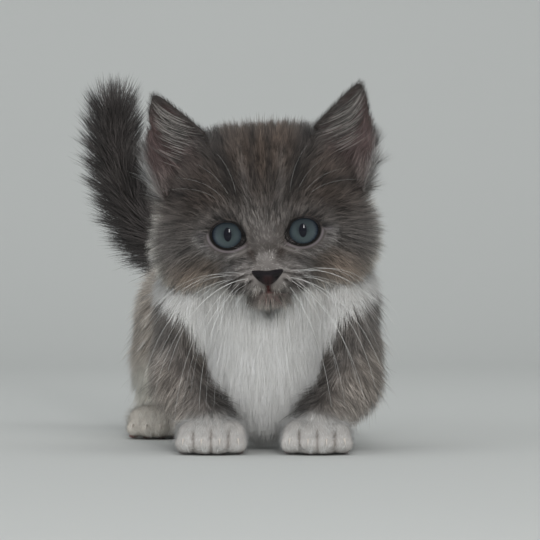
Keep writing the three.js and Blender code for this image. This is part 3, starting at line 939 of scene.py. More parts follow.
def bib_share(p):
    """One on the white of the breast, which narrows from the jaw to between the forelegs."""
    _, y, z = p.T
    beyond = beyond_bib(p) - 1.4 * ripple(p, 9, 11)
    belly = (1 - step(z, 22, 34)) * (1 - step(y, 60, 96))
    return (1 - step(beyond, -1.5, 1.5)) * np.maximum(1 - step(y, 50, 66), belly)


def toe_crease_shade(p):
    """One along the folds between the toes, where shade is painted."""
    share = 0
    for x, y, width in paws():
        deep = 1 if y < 60 else 0.4
        for place in (-1, 0, 1):
            line = bell(p[:, 0], x + place * width * 0.235, 0.55)
            share = share + deep * line * bell(p[:, 1], y - 11, 6) * (1 - step(p[:, 2], 8, 11))
    return np.clip(share, 0, 1)


def markings(spots):
    """The colour of skin and hair at each place, with painted light on the right flank and outer legs and
    painted shade in the creases by the bib and between the toes.
    """
    p, q = spots.points, spots.head
    x, y, z = p.T
    wander, beyond = ripple(p, 24, 7), beyond_bib(p)
    back = step(z, 60, 84)
    bars = bell((y + 0.2 * z) % 17, 8.5, 3.2) * step(z, 30, 44)
    trunk = painted(
        SLATE * (1.15, 1.08, 1),
        [
            (PALE_SLATE * (1.75, 1.6, 1.42), 0.8 + 0.25 * wander),
            (DARK_SLATE, 0.55 * back),
            (DARK_SLATE, 0.3 * bars),
            (PALE_SLATE * 1.3, 0.6 * (1 - step(z, 20, 34))),
            # painted light on the right flank
            (PAINTED_SIDE_LIGHT, 0.55 * step(-x, 28, 42) * (1 - back)),
        ],
    )
    low = (1 - step(z, 44, 62)) * (y < 60)
    # painted shade in the crease between the forelegs and the white breast, just beyond the edge of the bib
    arm_crease_shade = (1 - step(z, 32, 56)) * (y < 60)
    wide = 7.5 + 3.5 * (1 - step(z, 18, 36))
    leg = painted(
        SLATE * (1.1, 1.05, 1),
        [
            (PALE_SLATE, 0.35 + 0.2 * wander),
            (DARK_SLATE, 0.35 * bell((z + 0.3 * y) % 13, 6.5, 2.4)),
            # painted shade in the crease along the bib's edge
            (DARK_SLATE * 0.35, 0.95 * bell(beyond, 1, wide) * arm_crease_shade),
            (PALE_SLATE * (1.3, 1.22, 1.12), 0.55 * step(beyond, 9, 18) * low),
            # painted light on the outer sides of the legs
            (PAINTED_SIDE_LIGHT, 0.6 * step(np.abs(x), 35, 42) * step(y, 48, 60)),
        ],
    )
    foreleg_colour = mix(leg, WHITE * 0.77, 1 - step(z - 1.3 * ripple(p, 7, 12), 12, 17))
    hind_sock = 1 - step(z - 2 * ripple(p, 8, 13), 27, 37)
    along, _ = tail_place(p)
    colour = spots.blend(
        {
            "head": head_markings(q),
            "ear": ear_markings(q),
            "neck": trunk,
            "torso": trunk,
            "foreleg": foreleg_colour,
            "hind_leg": mix(leg, WHITE * (0.96, 0.93, 0.86), hind_sock),
            "front_paw": mix(foreleg_colour, WHITE * 0.75, 1 - step(z, 14, 18)),
            "hind_paw": np.tile(WHITE * (0.96, 0.93, 0.87), (len(p), 1)),
            "tail": mix(SMOKE, SLATE, 0.55 * (1 - step(along, 0, 0.3))),
        }
    )
    bib = bib_share(p) * (1 - spots.share["head"] - spots.share["ear"])
    # painted shade in the folds between the toes
    return painted(colour, [(WHITE, bib), (FAWN * 0.5, 0.75 * toe_crease_shade(p))])


# Materials


class Value:
    """A shader socket, so that shader maths reads as Python."""

    def __init__(self, shader, socket):
        self.shader, self.socket = shader, socket

    def maths(self, operation, a, b=0.0):
        return self.shader.node("ShaderNodeMath", {"operation": operation}, {0: a, 1: b})

    def __add__(self, other):
        return self.maths("ADD", self, other)

    __radd__ = __add__

    def __sub__(self, other):
        return self.maths("SUBTRACT", self, other)

    def __mul__(self, other):
        return self.maths("MULTIPLY", self, other)

    __rmul__ = __mul__

    def __truediv__(self, other):
        return self.maths("DIVIDE", self, other)

    def __pow__(self, other):
        return self.maths("POWER", self, other)


class Shader:
    """A material on one Principled surface, with its uniform numbers given by socket name."""

    def __init__(self, name, **uniform):
        self.material = bpy.data.materials.new(name)
        self.material.use_nodes = True
        self.tree = self.material.node_tree
        self.surface = self.tree.nodes["Principled BSDF"]
        for key, value in uniform.items():
            self.surface.inputs[key.replace("_", " ")].default_value = value

    def node(self, kind, settings=None, inputs=None, output=0):
        made = self.tree.nodes.new(kind)
        for key, value in (settings or {}).items():
            if key == "stops":
                self.set_stops(made.color_ramp, value)
            else:
                setattr(made, key, value)
        for key, value in (inputs or {}).items():
            self.join(made.inputs[key], value)
        return Value(self, made.outputs[output])

    def set_stops(self, ramp, stops):
        while len(ramp.elements) < len(stops):
            ramp.elements.new(0.5)
        for element, (place, colour) in zip(ramp.elements, stops):
            element.position = place
            element.color = (*colour, 1)

    def join(self, socket, value):
        if isinstance(value, Value):
            self.tree.links.new(value.socket, socket)
        else:
            socket.default_value = value

    def feed(self, **values):
        for key, value in values.items():
            self.join(self.surface.inputs[key.replace("_", " ")], value)

    def markings(self):
        return self.node("ShaderNodeAttribute", {"attribute_name": "markings"})

    def noise(self, place, scale, detail):
        return self.node("ShaderNodeTexNoise", None, {"Vector": place, "Scale": scale, "Detail": detail})

    def bump(self, height, strength, distance):
        inputs = {"Height": height, "Strength": strength, "Distance": distance}
        return self.node("ShaderNodeBump", None, inputs)

    def object_place(self):
        return self.node("ShaderNodeTexCoord", output="Object")

    def mix(self, share, under, over, blend="MIX"):
        """Socket numbers are those of colours on a Mix node."""
        inputs = {0: share, 6: under, 7: over}
        return self.node("ShaderNodeMix", {"data_type": "RGBA", "blend_type": blend}, inputs, output=2)


def opaque(colour):
    return (*[float(channel) for channel in colour], 1.0)


def coat_material():
    """Soft hair in the colour of its own pattern and painted shading."""
    shine = {"Specular_IOR_Level": 0.32, "Sheen_Weight": 0.15, "Sheen_Roughness": 0.5}
    shader = Shader("kitten_hair", Roughness=0.62, **shine)
    shader.feed(Base_Color=shader.markings())
    return shader.material


def skin_material():
    """Bare skin and the short hair lying flat on it."""
    shader = Shader("kitten_skin", Roughness=0.7, Specular_IOR_Level=0.25)
    place = shader.object_place()
    down = shader.noise(place, 1800, 3)
    patches = shader.noise(place, 240, 2)
    dark = shader.mix(0.5 + 0.4 * patches, shader.markings(), (0.62, 0.58, 0.56, 1), "MULTIPLY")
    shader.feed(Base_Color=dark, Normal=shader.bump(down, 0.5, 0.0003))
    return shader.material


IRIS_STOPS = (  # its colours from the pupil outwards, and where they begin
    (0.18, (0.022, 0.031, 0.036)),
    (0.32, (0.050, 0.069, 0.072)),
    (0.50, (0.060, 0.079, 0.088)),
    (0.60, (0.028, 0.038, 0.052)),
    (0.68, (0.007, 0.009, 0.016)),
    (0.75, (0.002, 0.002, 0.003)),
)


def eye_material(side):
    """Grey-blue iris with a narrow upright pupil, dark at its rim, under a wet cornea, with a painted
    shadow of the upper lid across its top.
    """
    wet = {"Coat_Weight": 1.0, "Coat_Roughness": 0.03, "Coat_IOR": 1.3}
    shader = Shader(f"iris_{side}", Roughness=0.5, Specular_IOR_Level=0.1, **wet)
    place = shader.node("ShaderNodeUVMap", {"uv_map": "gaze"})
    parts = [shader.node("ShaderNodeSeparateXYZ", None, {0: place}, output=k) for k in range(2)]
    across, up = parts[0] * 2 - 1, parts[1] * 2 - 1
    far = (across * across + up * up) ** 0.5
    way = shader.node("ShaderNodeCombineXYZ", None, {0: across, 1: up})
    way = shader.node("ShaderNodeVectorMath", {"operation": "NORMALIZE"}, {0: way})
    streaks = 0.6 * shader.noise(way, 9, 4) + 0.4 * shader.noise(way, 26, 3)
    tone = far + (streaks - 0.5) * 0.22
    iris = shader.node("ShaderNodeValToRGB", {"stops": IRIS_STOPS}, {0: tone})
    # painted shadow of the upper lid, darkening the top of the iris
    shade = shader.node("ShaderNodeMapRange", None, {0: up, 1: -0.1, 2: 0.52, 3: 0.0, 4: 0.92})
    iris = shader.mix(shade, iris, (0.008, 0.012, 0.016, 1))
    pupil_far = ((across / 0.17) ** 2.0 + (up / 0.31) ** 2.0) ** 0.5
    pupil = shader.node("ShaderNodeMapRange", None, {0: pupil_far, 1: 0.92, 2: 1.06, 3: 1.0, 4: 0.0})
    shader.feed(Base_Color=shader.mix(pupil, iris, (0.001, 0.0015, 0.006, 1)))
    return shader.material


def nose_material():
    """Charcoal leather, browner in its middle, with a fine pebbled grain, a little moist."""
    shader = Shader("nose_skin", Specular_IOR_Level=0.2, Coat_Weight=0.06, Coat_Roughness=0.25)
    place = shader.object_place()
    pebbles = {"feature": "DISTANCE_TO_EDGE"}
    grain = shader.node("ShaderNodeTexVoronoi", pebbles, {"Vector": place, "Scale": 2600})
    blotch = shader.noise(place, 420, 2)
    shader.feed(Base_Color=shader.mix(0.5 * blotch, shader.markings(), (0.004, 0.003, 0.004, 1)))
    shader.feed(Roughness=0.42 + 0.2 * blotch, Normal=shader.bump(grain, 0.6, 0.00012))
    return shader.material


def plain_material(name, low, high, scale, rough=0.5, bump=0.2):
    """A finish that wanders softly between two colours, with a fine grain."""
    shader = Shader(name, Roughness=rough)
    place = shader.object_place()
    blotch = shader.noise(place, scale, 3)
    shader.feed(Base_Color=shader.mix(blotch, opaque(low), opaque(high)))
    shader.feed(Normal=shader.bump(shader.noise(place, scale * 6, 2), bump, 0.0001))
    return shader.material


# The coat


def paint(mesh, colours):
    """Keeps linear colours on a mesh's vertices, where the materials read them."""
    layer = mesh.attributes.new("markings", "FLOAT_COLOR", "POINT")
    flat = np.ones((len(mesh.vertices), 4), np.float32)
    flat[:, :3] = np.clip(colours, 0, 1)
    layer.data.foreach_set("color", flat.ravel())


def nearest_of(places, points):
    """The number of the place nearest to each point."""
    tree = KDTree(len(places))
    for i, place in enumerate(places):
        tree.insert(place, i)
    tree.balance()
    return np.array([tree.find(point)[1] for point in points])


class Pelt:
    """The skin's triangles, on which hair is planted."""

    def __init__(self, skin):
        mesh = skin.data
        mesh.calc_loop_triangles()
        count = len(mesh.loop_triangles)
        corners = np.empty(count * 3, np.int64)
        mesh.loop_triangles.foreach_get("vertices", corners)
        loops = np.empty(count * 3, np.int64)
        mesh.loop_triangles.foreach_get("loops", loops)
        flat = np.empty(len(mesh.loops) * 2)
        mesh.uv_layers["OFBake"].data.foreach_get("uv", flat)
        self.points = mesh_points(mesh)[corners.reshape(-1, 3)]
        self.normals = mesh_normals(mesh)[corners.reshape(-1, 3)]
        self.uvs = flat.reshape(-1, 2)[loops.reshape(-1, 3)]
        a, b, c = self.points.transpose(1, 0, 2)
        self.areas = np.linalg.norm(np.cross(b - a, c - a), axis=1) / 2
        self.spots = Spots(self.points.mean(1), unit(self.normals.mean(1)))

    def plant(self, chances, count, chance):
        """Random places, as likely on each triangle as its area times its chance."""
        weights = self.areas * chances
        chosen = chance.choice(len(weights), count, p=weights / weights.sum())
        u, v = chance.random((2, count))
        over = u + v > 1
        u[over], v[over] = 1 - u[over], 1 - v[over]
        shares = np.stack([1 - u - v, u, v], 1)[:, :, None]
        points, normals, uvs = (
            (values[chosen] * shares).sum(1) for values in (self.points, self.normals, self.uvs)
        )
        return Spots(points, unit(normals)), uvs

    def nearest_uvs(self, points):
        """Where the skin nearest to each point lies in its OFBake map."""
        return self.uvs[nearest_of(self.spots.points, points)].mean(1)


def open_skin(spots):
    """One where hair may grow, and nought on the eyes, the nose and under the feet."""
    q, p = spots.head, spots.points
    keep = np.ones(len(p))
    for side in SIDES:
        keep *= step(eye_share(side, q) - 0.22 * lower_lid(side, q), 1.01, 1.06)
    nose = np.linalg.norm((q - NOSE_AT) / (6.2, 4, 3.2), axis=1)
    keep *= step(nose, 0.95, 1.05)
    lips = 1 - step(mouth_gap(q), 0.25, 0.6)
    keep *= 1 - lips * bell(q[:, 0], 0, 2)
    return keep * step(p[:, 2], 0.3, 0.8)


def clumped(ends, roots, seed, per_clump, pull):
    """Draws the ends of hairs towards the end of one hair near them."""
    count = len(roots)
    guides = np.random.default_rng(seed).choice(count, max(1, count // per_clump), replace=False)
    mine = guides[nearest_of(roots[guides], roots)]
    return ends + (ends[mine] + 0.35 * (roots - roots[mine]) - ends) * pull, mine


TUFT_ROUNDNESS = 0.9  # how far a tuft is shaded as round, over the shading of the skin below
TUFT_CORNERS = np.radians((90, 210, 330))
TUFT_TAPER = 0.55
TUFT_HEIGHT = 0.7  # over its width
TUFT_ROOT = 0.8  # its root's width over its own
UV_PATCH = 0.003  # each tuft's place in the OFBake map
SAG = 1.2  # how far the tip of a hair of 16 mm hangs down


def bezier(start, middle, end, t):
    return start * (1 - t) ** 2 + middle * 2 * t * (1 - t) + end * t * t


def tuft_faces(rings):
    """The corners of one tuft's triangles: its root, its sides and its tip."""
    faces = [(0, 2, 1)]
    for k in range(rings - 1):
        for j in range(3):
            a, b = k * 3 + j, k * 3 + (j + 1) % 3
            faces += [(a, b, b + 3), (a, b + 3, a + 3)]
    last = (rings - 1) * 3
    return np.array(faces + [(last + j, last + (j + 1) % 3, rings * 3) for j in range(3)])


def hair_mesh(name, root, middle, tip, side_way, radius, colours, uvs, rings, shading):
    """Joined three-sided tufts, each closed, tapered and bent from root through middle to tip."""
    count, size = len(root), rings * 3 + 1
    stops = np.arange(rings) / rings
    points = np.empty((count, size, 3))
    facing = np.repeat(shading[:, None], size, axis=1)
    for k, t in enumerate(stops):
        centre = bezier(root, middle, tip, t)
        forward = unit((middle - root) * (1 - t) + (tip - middle) * t)
        side = unit(side_way - (side_way * forward).sum(1)[:, None] * forward)
        above = np.cross(forward, side)
        wide = (radius * (1 - TUFT_TAPER * t * t) * (TUFT_ROOT if k == 0 else 1))[:, None]
        for j, angle in enumerate(TUFT_CORNERS):
            round_way = math.cos(angle) * side + TUFT_HEIGHT * math.sin(angle) * above
            points[:, k * 3 + j] = centre + wide * round_way
            facing[:, k * 3 + j] += TUFT_ROUNDNESS * round_way
    points[:, -1] = tip
    pattern = tuft_faces(rings)
    faces = (pattern + (np.arange(count) * size)[:, None, None]).ravel()
    triangles = len(faces) // 3
    mesh = bpy.data.meshes.new(name)
    mesh.vertices.add(count * size)
    mesh.vertices.foreach_set("co", to_frame(points).ravel())
    mesh.loops.add(len(faces))
    mesh.loops.foreach_set("vertex_index", faces.astype(np.int32))
    mesh.polygons.add(triangles)
    mesh.polygons.foreach_set("loop_start", np.arange(triangles, dtype=np.int32) * 3)
    mesh.polygons.foreach_set("use_smooth", np.full(triangles, True))
    mesh.update(calc_edges=True)
    layer = mesh.attributes.new("custom_normal", "FLOAT_VECTOR", "POINT")
    layer.data.foreach_set("vector", unit(facing).astype(np.float32).ravel())
    along = np.array([*np.repeat(stops, 3), 1.0])
    under, over = colours
    paint(mesh, (under[:, None] + (over - under)[:, None] * along[:, None]).reshape(-1, 3))
    spread = np.array([*([-0.5, 0.0, 0.5] * rings), 0.0])
    inside = np.stack([spread, along - 0.5], 1) * UV_PATCH
    layer = mesh.uv_layers.new(name="OFBake")
    layer.data.foreach_set("uv", np.clip(uvs[:, None] + inside[pattern.ravel()], 0, 1).ravel())
    mesh.validate(clean_customdata=False)
    return link_new(name, mesh)


class Coat:
    """Grows one piece of the coat from a chance of hair on each triangle of the pelt."""

    def __init__(self, pelt, material, share_of_hairs):
        self.pelt, self.material, self.share = pelt, material, share_of_hairs

    def grow(
        self, name, chances, count, radius, rings=1, seed=1, per_clump=10, pull=0.3, tangle=9, streak=0.36,
        longer=1.0, lift=0.0, longest=22.0, slot="grey_coat", tint=1.0,
    ):
        chance = np.random.default_rng(seed)
        count = max(200, int(count * self.share))
        spots, uvs = self.pelt.plant(chances * open_skin(self.pelt.spots), count, chance)
        normals, lie = spots.normals, lie_of(spots)
        swing = np.radians(chance.normal(0, tangle, count))[:, None]
        lie = unit(lie * np.cos(swing) + np.cross(normals, lie) * np.sin(swing))
        length = length_of(spots) * longer * chance.uniform(0.72, 1.2, count)
        length = np.minimum(length, longest)[:, None]
        lean = lift + chance.normal(0, 5, count)
        stands = [np.radians(angle + lean)[:, None] for angle in stand_of(spots)]
        first, second = (lie * np.cos(stand) + normals * np.sin(stand) for stand in stands)
        root = spots.points - normals * np.minimum(0.5, 0.06 * length)
        middle = root + first * length * 0.5
        tip = middle + second * length * 0.5
        tip[:, 2] -= SAG * (length[:, 0] / 16) ** 2
        tip, guides = clumped(tip, root, seed, per_clump, pull)
        tip[:, 2] = np.maximum(tip[:, 2], HAIR_CLEARANCE)
        middle[:, 2] = np.maximum(middle[:, 2], HAIR_CLEARANCE + 0.3)
        colour = markings(spots) * tint
        own = chance.normal(0, streak, count) + chance.normal(0, 1.4 * streak, count)[guides]
        white = step(colour.mean(1), 0.35, 0.6)[:, None]
        tone = 1 + (np.exp(np.clip(own, -1.4, 0.9))[:, None] - 1) * (1 - 0.8 * white)
        colours = colour * tone * (0.6 + 0.34 * white), colour * tone * (1.25 - 0.25 * white)
        thick = radius * chance.uniform(0.75, 1.2, count) * np.clip(length[:, 0] / 8, 0.6, 1)
        side_way = np.cross(lie, normals)
        piece = hair_mesh(name, root, middle, tip, side_way, thick, colours, uvs, rings, normals)
        dress(piece, self.material)


# Pieces other than hair


def add_rings(bm, line, aside, above, radii, sides, closed=False):
    """Rings of vertices round the points of a line, joined by faces."""
    angles = 2 * math.pi * np.arange(sides) / sides
    rings = [
        [bm.verts.new(to_frame(centre + radius * (math.cos(t) * s + math.sin(t) * a))) for t in angles]
        for centre, s, a, radius in zip(line, aside, above, radii)
    ]
    for low, high in zip(rings, rings[1:] + rings[:1] if closed else rings[1:]):
        for k in range(sides):
            bm.faces.new((low[k], low[(k + 1) % sides], high[(k + 1) % sides], high[k]))
    return rings


def add_tube(bm, line, radii, sides):
    """A tapered tube with closed ends along a line of points in the kitten's measures."""
    forward = unit(np.gradient(line, axis=0))
    side = unit(np.cross(forward, (0.31, 0.2, 0.93)))
    rings = add_rings(bm, line, side, np.cross(side, forward), radii, sides)
    bm.faces.new(rings[0][::-1])
    bm.faces.new(rings[-1])


def add_hoop(bm, line, radii, sides=8):
    """A closed tube round a closed line of points."""
    forward = unit(np.roll(line, -1, 0) - np.roll(line, 1, 0))
    above = unit(np.cross(forward, unit(line - line.mean(0))))
    add_rings(bm, line, np.cross(above, forward), above, radii, sides, closed=True)


def make_eye(side):
    centre = EYE_CENTRES[side]
    bm = bmesh.new()
    bmesh.ops.create_uvsphere(bm, u_segments=96, v_segments=64, radius=1)
    gaze = bm.loops.layers.uv.new("gaze")
    look = {}
    for vert in bm.verts:
        x, y, z = vert.co.x, -vert.co.z, vert.co.y
        look[vert.index] = ((x + 1) / 2, (z + 1) / 2)
        bulge = CORNEA_BULGE * (1 - step(math.hypot(x, z), 0.3, 0.8)) if y < 0 else 0
        place = centre + np.array((x, y, z)) * EYE_RADIUS + (0, -bulge, 0)
        vert.co = to_frame(from_head(place))
    for face in bm.faces:
        for loop in face.loops:
            loop[gaze].uv = look[loop.vert.index]
    piece = object_from(f"eyeball_{side}", bm)
    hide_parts(f"eye_{side}")
    dress(piece, eye_material(side))


def make_lid_rims(material):
    """The dark edge of the lids, resting on each eyeball."""
    bm = bmesh.new()
    for side in SIDES:
        line = eye_rim(side, 1.03, EYE_RADIUS + 0.35)
        add_hoop(bm, from_head(line), 0.52 - 0.2 * lower_lid(side, line))
    dress(object_from("lid_rims", bm), material)


def make_nose():
    """The nose leather: wide above, narrow at the lip, with a nostril curling out on each side."""
    bm = bmesh.new()
    verts = bmesh.ops.create_uvsphere(bm, u_segments=64, v_segments=40, radius=1)["verts"]
    colours = []
    for vert in verts:
        x, y, z = vert.co
        narrow = 0.3 + 0.75 * (z + 1) / 2
        top = 1 - 0.3 * (1 - step(abs(x), 0.0, 0.7)) if z > 0 else 1
        lift = 1.1 * step(abs(x), 0.5, 1) * (z + 1) / 2
        place = np.array((x * narrow * 7.7, y * 3.4 + 2.2 * x * x, z * 3.1 * top + lift))
        depth = 0
        for out in (-1, 1):
            hollow = np.linalg.norm((place - (out * 3.5, -2.6, -0.1)) / (1.5, 2.6, 0.8))
            curl = np.linalg.norm((place - (out * 4.7, -1.6, -0.3)) / (1.2, 2.4, 0.6))
            depth = max(depth, math.exp(-hollow * hollow * 1.4), 0.8 * math.exp(-curl * curl * 1.4))
        crease = math.exp(-((place[0] / 0.45) ** 2)) * step(-place[2], -0.6, 1.5)
        middle = math.exp(-((place[0] / 2.0) ** 2)) * step(-place[2], -1.2, 0.8)
        brown = NOSE_CHARCOAL + (NOSE_BROWN - NOSE_CHARCOAL) * middle
        # painted shade: the nostrils and the crease down the middle are darkened in their hollows
        colours.append(brown * (1 - 0.9 * depth) * (1 - 0.5 * crease))
        place = place + (0, 1.5 * depth + 0.45 * crease, 0)
        vert.co = to_frame(from_head(place + NOSE_AT))
    piece = object_from("nose_leather", bm)
    paint(piece.data, np.array(colours))
    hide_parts("nose")
    dress(piece, nose_material())


def bent_line(start, middle, end, count):
    return bezier(start, middle, end, np.linspace(0, 1, count)[:, None])


def make_whiskers(count, length):
    """White whiskers from four rows on each pad, and a few over each eye."""
    chance = np.random.default_rng(41)
    bm = bmesh.new()
    for out in SIDES.values():
        for i in range(count):
            row, place = i % 4, i // 4
            x = 8.2 + 2.3 * place + chance.uniform(-0.5, 0.5)
            z = -24.6 - 1.8 * row + chance.uniform(-0.4, 0.4)
            y = -25.8 - 9.4 * math.sqrt(max(1 - ((x - 7) / 9.4) ** 2 - ((z + 26) / 7) ** 2, 0.05))
            root = np.array((out * x, y, z))
            drop = 0.15 + 0.38 * row + chance.uniform(-0.08, 0.1)
            reach = length * (1 - 0.08 * abs(row - 1.5)) * chance.uniform(0.75, 1.05)
            rise = 0.18 - 0.32 * row + chance.uniform(-0.15, 0.1)
            way = unit(np.array((out * (1 - 0.14 * row), -0.32 + 0.16 * place, rise)))
            end_way = unit(np.array((out * (0.48 - 0.11 * row), 0.12, -0.6 - drop)))
            middle = root + way * reach * 0.42
            line = bent_line(root, middle, middle + end_way * reach * 0.6, 16)
            radii = np.linspace(0.065, 0.03, 16) * (0.5 + 0.65 * chance.random() ** 2)
            add_tube(bm, from_head(line), radii, 5)
        for i in range(4):
            root = np.array((out * (9.5 + 2.2 * i), -25 + 1.2 * i, 2.2 + 0.2 * i))
            middle = root + (out * (1 + 2.5 * i), -5.5, 11 - 1.5 * i)
            end = middle + np.array((out * (6 + 1.8 * i), 5.5, 7 - 3 * i)) * chance.uniform(0.8, 1.2)
            line = bent_line(root, middle, end, 14)
            add_tube(bm, from_head(line), np.linspace(0.017, 0.007, 14), 5)
    horn = plain_material("whisker_horn", (0.72, 0.72, 0.7), (0.82, 0.82, 0.8), 300, rough=0.35, bump=0.05)
    dress(object_from("whiskers", bm), horn)


def paws():
    """Each paw's x, y and width."""
    for side in SIDES:
        yield FRONT_PAW_X[side], FRONT_PAW_Y, FRONT_PAW_WIDTH
        yield HIND_PAW_X[side], HIND_PAW_Y, HIND_PAW_WIDTH


def toe_tips(x, y, width):
    for place in TOES:
        yield place, np.array((x + place * width * 0.24, y - 11.6 + 1.4 * place * place, 4.4))


def make_pads():
    """A pad under each toe and a larger one behind them, just clear of the floor."""
    bm = bmesh.new()
    for x, y, width in paws():
        for _, tip in toe_tips(x, y, width):
            add_ball(bm, tip + (0, 6, -3.5), (1.9, 2.8, 0.8))
        add_ball(bm, (x, y + 2, 1.2), (5.0, 4.2, 1.0))
    bare = plain_material("pad_skin", (0.22, 0.10, 0.09), (0.34, 0.17, 0.15), 500, rough=0.55, bump=0.35)
    dress(object_from("toe_pads", bm), bare)


def make_claws():
    """Small hooked claws, half hidden in the fur of the toes."""
    bm = bmesh.new()
    for x, y, width in paws():
        for place, tip in toe_tips(x, y, width):
            start = tip + (0, -2.2, 1.4)
            line = bent_line(start, start + (0.1 * place, -2.3, 0.2), start + (0.15 * place, -3.2, -1.9), 8)
            add_tube(bm, line, np.linspace(0.55, 0.06, 8), 6)
    horn = plain_material("claw_horn", (0.62, 0.56, 0.5), (0.78, 0.73, 0.68), 400, rough=0.3, bump=0.05)
    dress(object_from("claws", bm), horn)


def make_ear_hair(pelt, material, count):
    """Long pale hairs that start at the inner edge of each ear and sweep up across its cup."""
    chance = np.random.default_rng(53)
    hairs = []
    for side in SIDES:
        height = chance.uniform(-1, 17, count)
        across = chance.uniform(-0.95, -0.45, count) + 0.5 * chance.random(count) ** 3
        reach = chance.uniform(0.55, 1.1, count)
        lifts = [EAR_THICKNESS + 0.1, *(least + 2.2 * chance.random(count) for least in (1.6, 1.4))]
        heights = height, height + 6 * reach, np.minimum(height + 14 * reach, 29)
        acrosses = across, across + 0.4 * reach, np.clip(across + reach, -1, 0.9)
        line = [from_head(ear_place(side, *place)) for place in zip(heights, acrosses, lifts)]
        hairs.append([*line, np.tile(ear_axes(side)[2], (count, 1)) @ HEAD_TURN.T])
    root, middle, tip, front = (np.concatenate(values) for values in zip(*hairs))
    tone = chance.uniform(0.1, 1, len(root))[:, None] ** 2.2
    pale = np.array((0.44, 0.41, 0.385)) * (0.07 + 1.15 * tone)
    side_way = np.cross(unit(tip - root), front)
    radius, colours = np.full(len(root), 0.085), (pale * 0.7, pale)
    uvs = pelt.nearest_uvs(root)
    piece = hair_mesh("ear_hair", root, middle, tip, side_way, radius, colours, uvs, 4, front)
    dress(piece, material)


FLESH_NODES = (
    "head", "neck", "torso", "ear_right", "ear_left", "foreleg_right", "foreleg_left",
    "front_paw_right", "front_paw_left", "hind_leg_right", "hind_leg_left", "hind_paw_right",
    "hind_paw_left", "tail_root", "tail_middle", "tail_tip",
)


# The stage


def make_backdrop(low, high):
    """A pale sheet that lies as the floor and rises in one curve behind."""
    bm = bmesh.new()
    half, front, back, bend, top = 3.0, -3.0, 0.8, 0.6, 2.6
    profile = [(front, 0.0), (0.0, 0.0), (back, 0.0)]
    for angle in np.linspace(0, math.pi / 2, 13)[1:]:
        profile.append((back + bend * math.sin(angle), bend * (1 - math.cos(angle))))
    profile.append((back + bend, top))
    edge = [bm.verts.new((-half, y, z)) for y, z in profile]
    edges = [bm.edges.new(pair) for pair in zip(edge, edge[1:])]
    across = bmesh.ops.extrude_edge_only(bm, edges=edges)["geom"]
    moved = [item for item in across if isinstance(item, bmesh.types.BMVert)]
    bmesh.ops.translate(bm, verts=moved, vec=(2 * half, 0, 0))
    piece = object_from("backdrop", bm)
    piece.data.materials.append(plain_material("backdrop_paper", low, high, 3, rough=0.9, bump=0.02))


LIGHTS = (  # name, place, aim, size, share of the key's power, colour, and whether the eyes mirror it
    ("front", (0.25, -1.45, 0.5), (0, 0, 0.07), (1.1, 0.8), 1, (1.0, 0.995, 0.975), False),
    ("side", (-0.95, -0.75, 0.45), (0, 0, 0.06), (0.8, 0.8), 0.4, (0.96, 0.985, 1.0), False),
    ("wall", (0, 0.1, 1.3), (0, 1.3, 0.45), (1.2, 1.2), 0.9, (0.98, 1.0, 1.0), False),
    ("window", (0.13, -0.95, 0.42), (0, 0, 0.09), (0.06, 0.26), 0.22, (1.0, 1.0, 1.0), True),
)


def add_light(name, place, aim, size, power, colour, mirrored_in_eyes):
    data = bpy.data.lights.new(name, "AREA")
    data.shape = "RECTANGLE"
    data.size, data.size_y = size
    data.energy = power
    data.color = colour
    light = link_new(name, data)
    light.visible_glossy = mirrored_in_eyes
    light.location = place
    light.rotation_euler = (Vector(aim) - Vector(place)).to_track_quat("-Z", "Y").to_euler()


def make_camera():
    data = bpy.data.cameras.new("camera")
    data.lens = CAMERA_LENS
    data.sensor_width = SENSOR
    data.dof.use_dof = False
    camera = link_new("camera", data)
    camera.location = to_frame((0, -CAMERA_DISTANCE, CAMERA_HEIGHT))
    camera.rotation_euler = (math.pi / 2, 0, 0)
    bpy.context.scene.camera = camera


def make_world(colour, strength):
    world = bpy.data.worlds.new("studio")
    world.use_nodes = True
    surface = world.node_tree.nodes["Background"]
    surface.inputs["Color"].default_value = opaque(colour)
    surface.inputs["Strength"].default_value = strength
    bpy.context.scene.world = world


# Settings


class KittenCoatSettings(bpy.types.PropertyGroup):
    """What the coat is made of."""

    hairs: bpy.props.FloatProperty(
        name="Hairs", description="Share of the full number of tufts", default=1.0, min=0.01, max=1.0
    )
    tuft_radius: bpy.props.FloatProperty(
        name="Tuft radius", description="Radius of a tuft of the body, in millimetres", default=0.13
    )
    ear_hairs: bpy.props.IntProperty(
        name="Ear hairs", description="Long hairs in the cup of each ear", default=260, min=1
    )


class KittenFaceSettings(bpy.types.PropertyGroup):
    """What is on the face."""

    whiskers: bpy.props.IntProperty(
        name="Whiskers", description="Whiskers on each side of the muzzle", default=14, min=1
    )
    whisker_length: bpy.props.FloatProperty(
        name="Whisker length", description="Length of the longest, in millimetres", default=56.0
    )
    lid_colour: bpy.props.FloatVectorProperty(
        name="Lid edge",
        description="Colour of the edge of the lids",
        subtype="COLOR",
        default=(0.012, 0.009, 0.009),
    )


class KittenStageSettings(bpy.types.PropertyGroup):
    """The floor, the backdrop and the light."""

    paper: bpy.props.FloatVectorProperty(
        name="Paper",
        description="Colour of the floor and backdrop",
        subtype="COLOR",
        default=(0.585, 0.598, 0.585),
    )
    sky: bpy.props.FloatProperty(
        name="Ambient", description="Strength of the light from all round", default=0.39
    )
    key: bpy.props.FloatProperty(
        name="Key", description="Power of the main light", default=7.4, unit="POWER", min=0.0
    )


# Operators


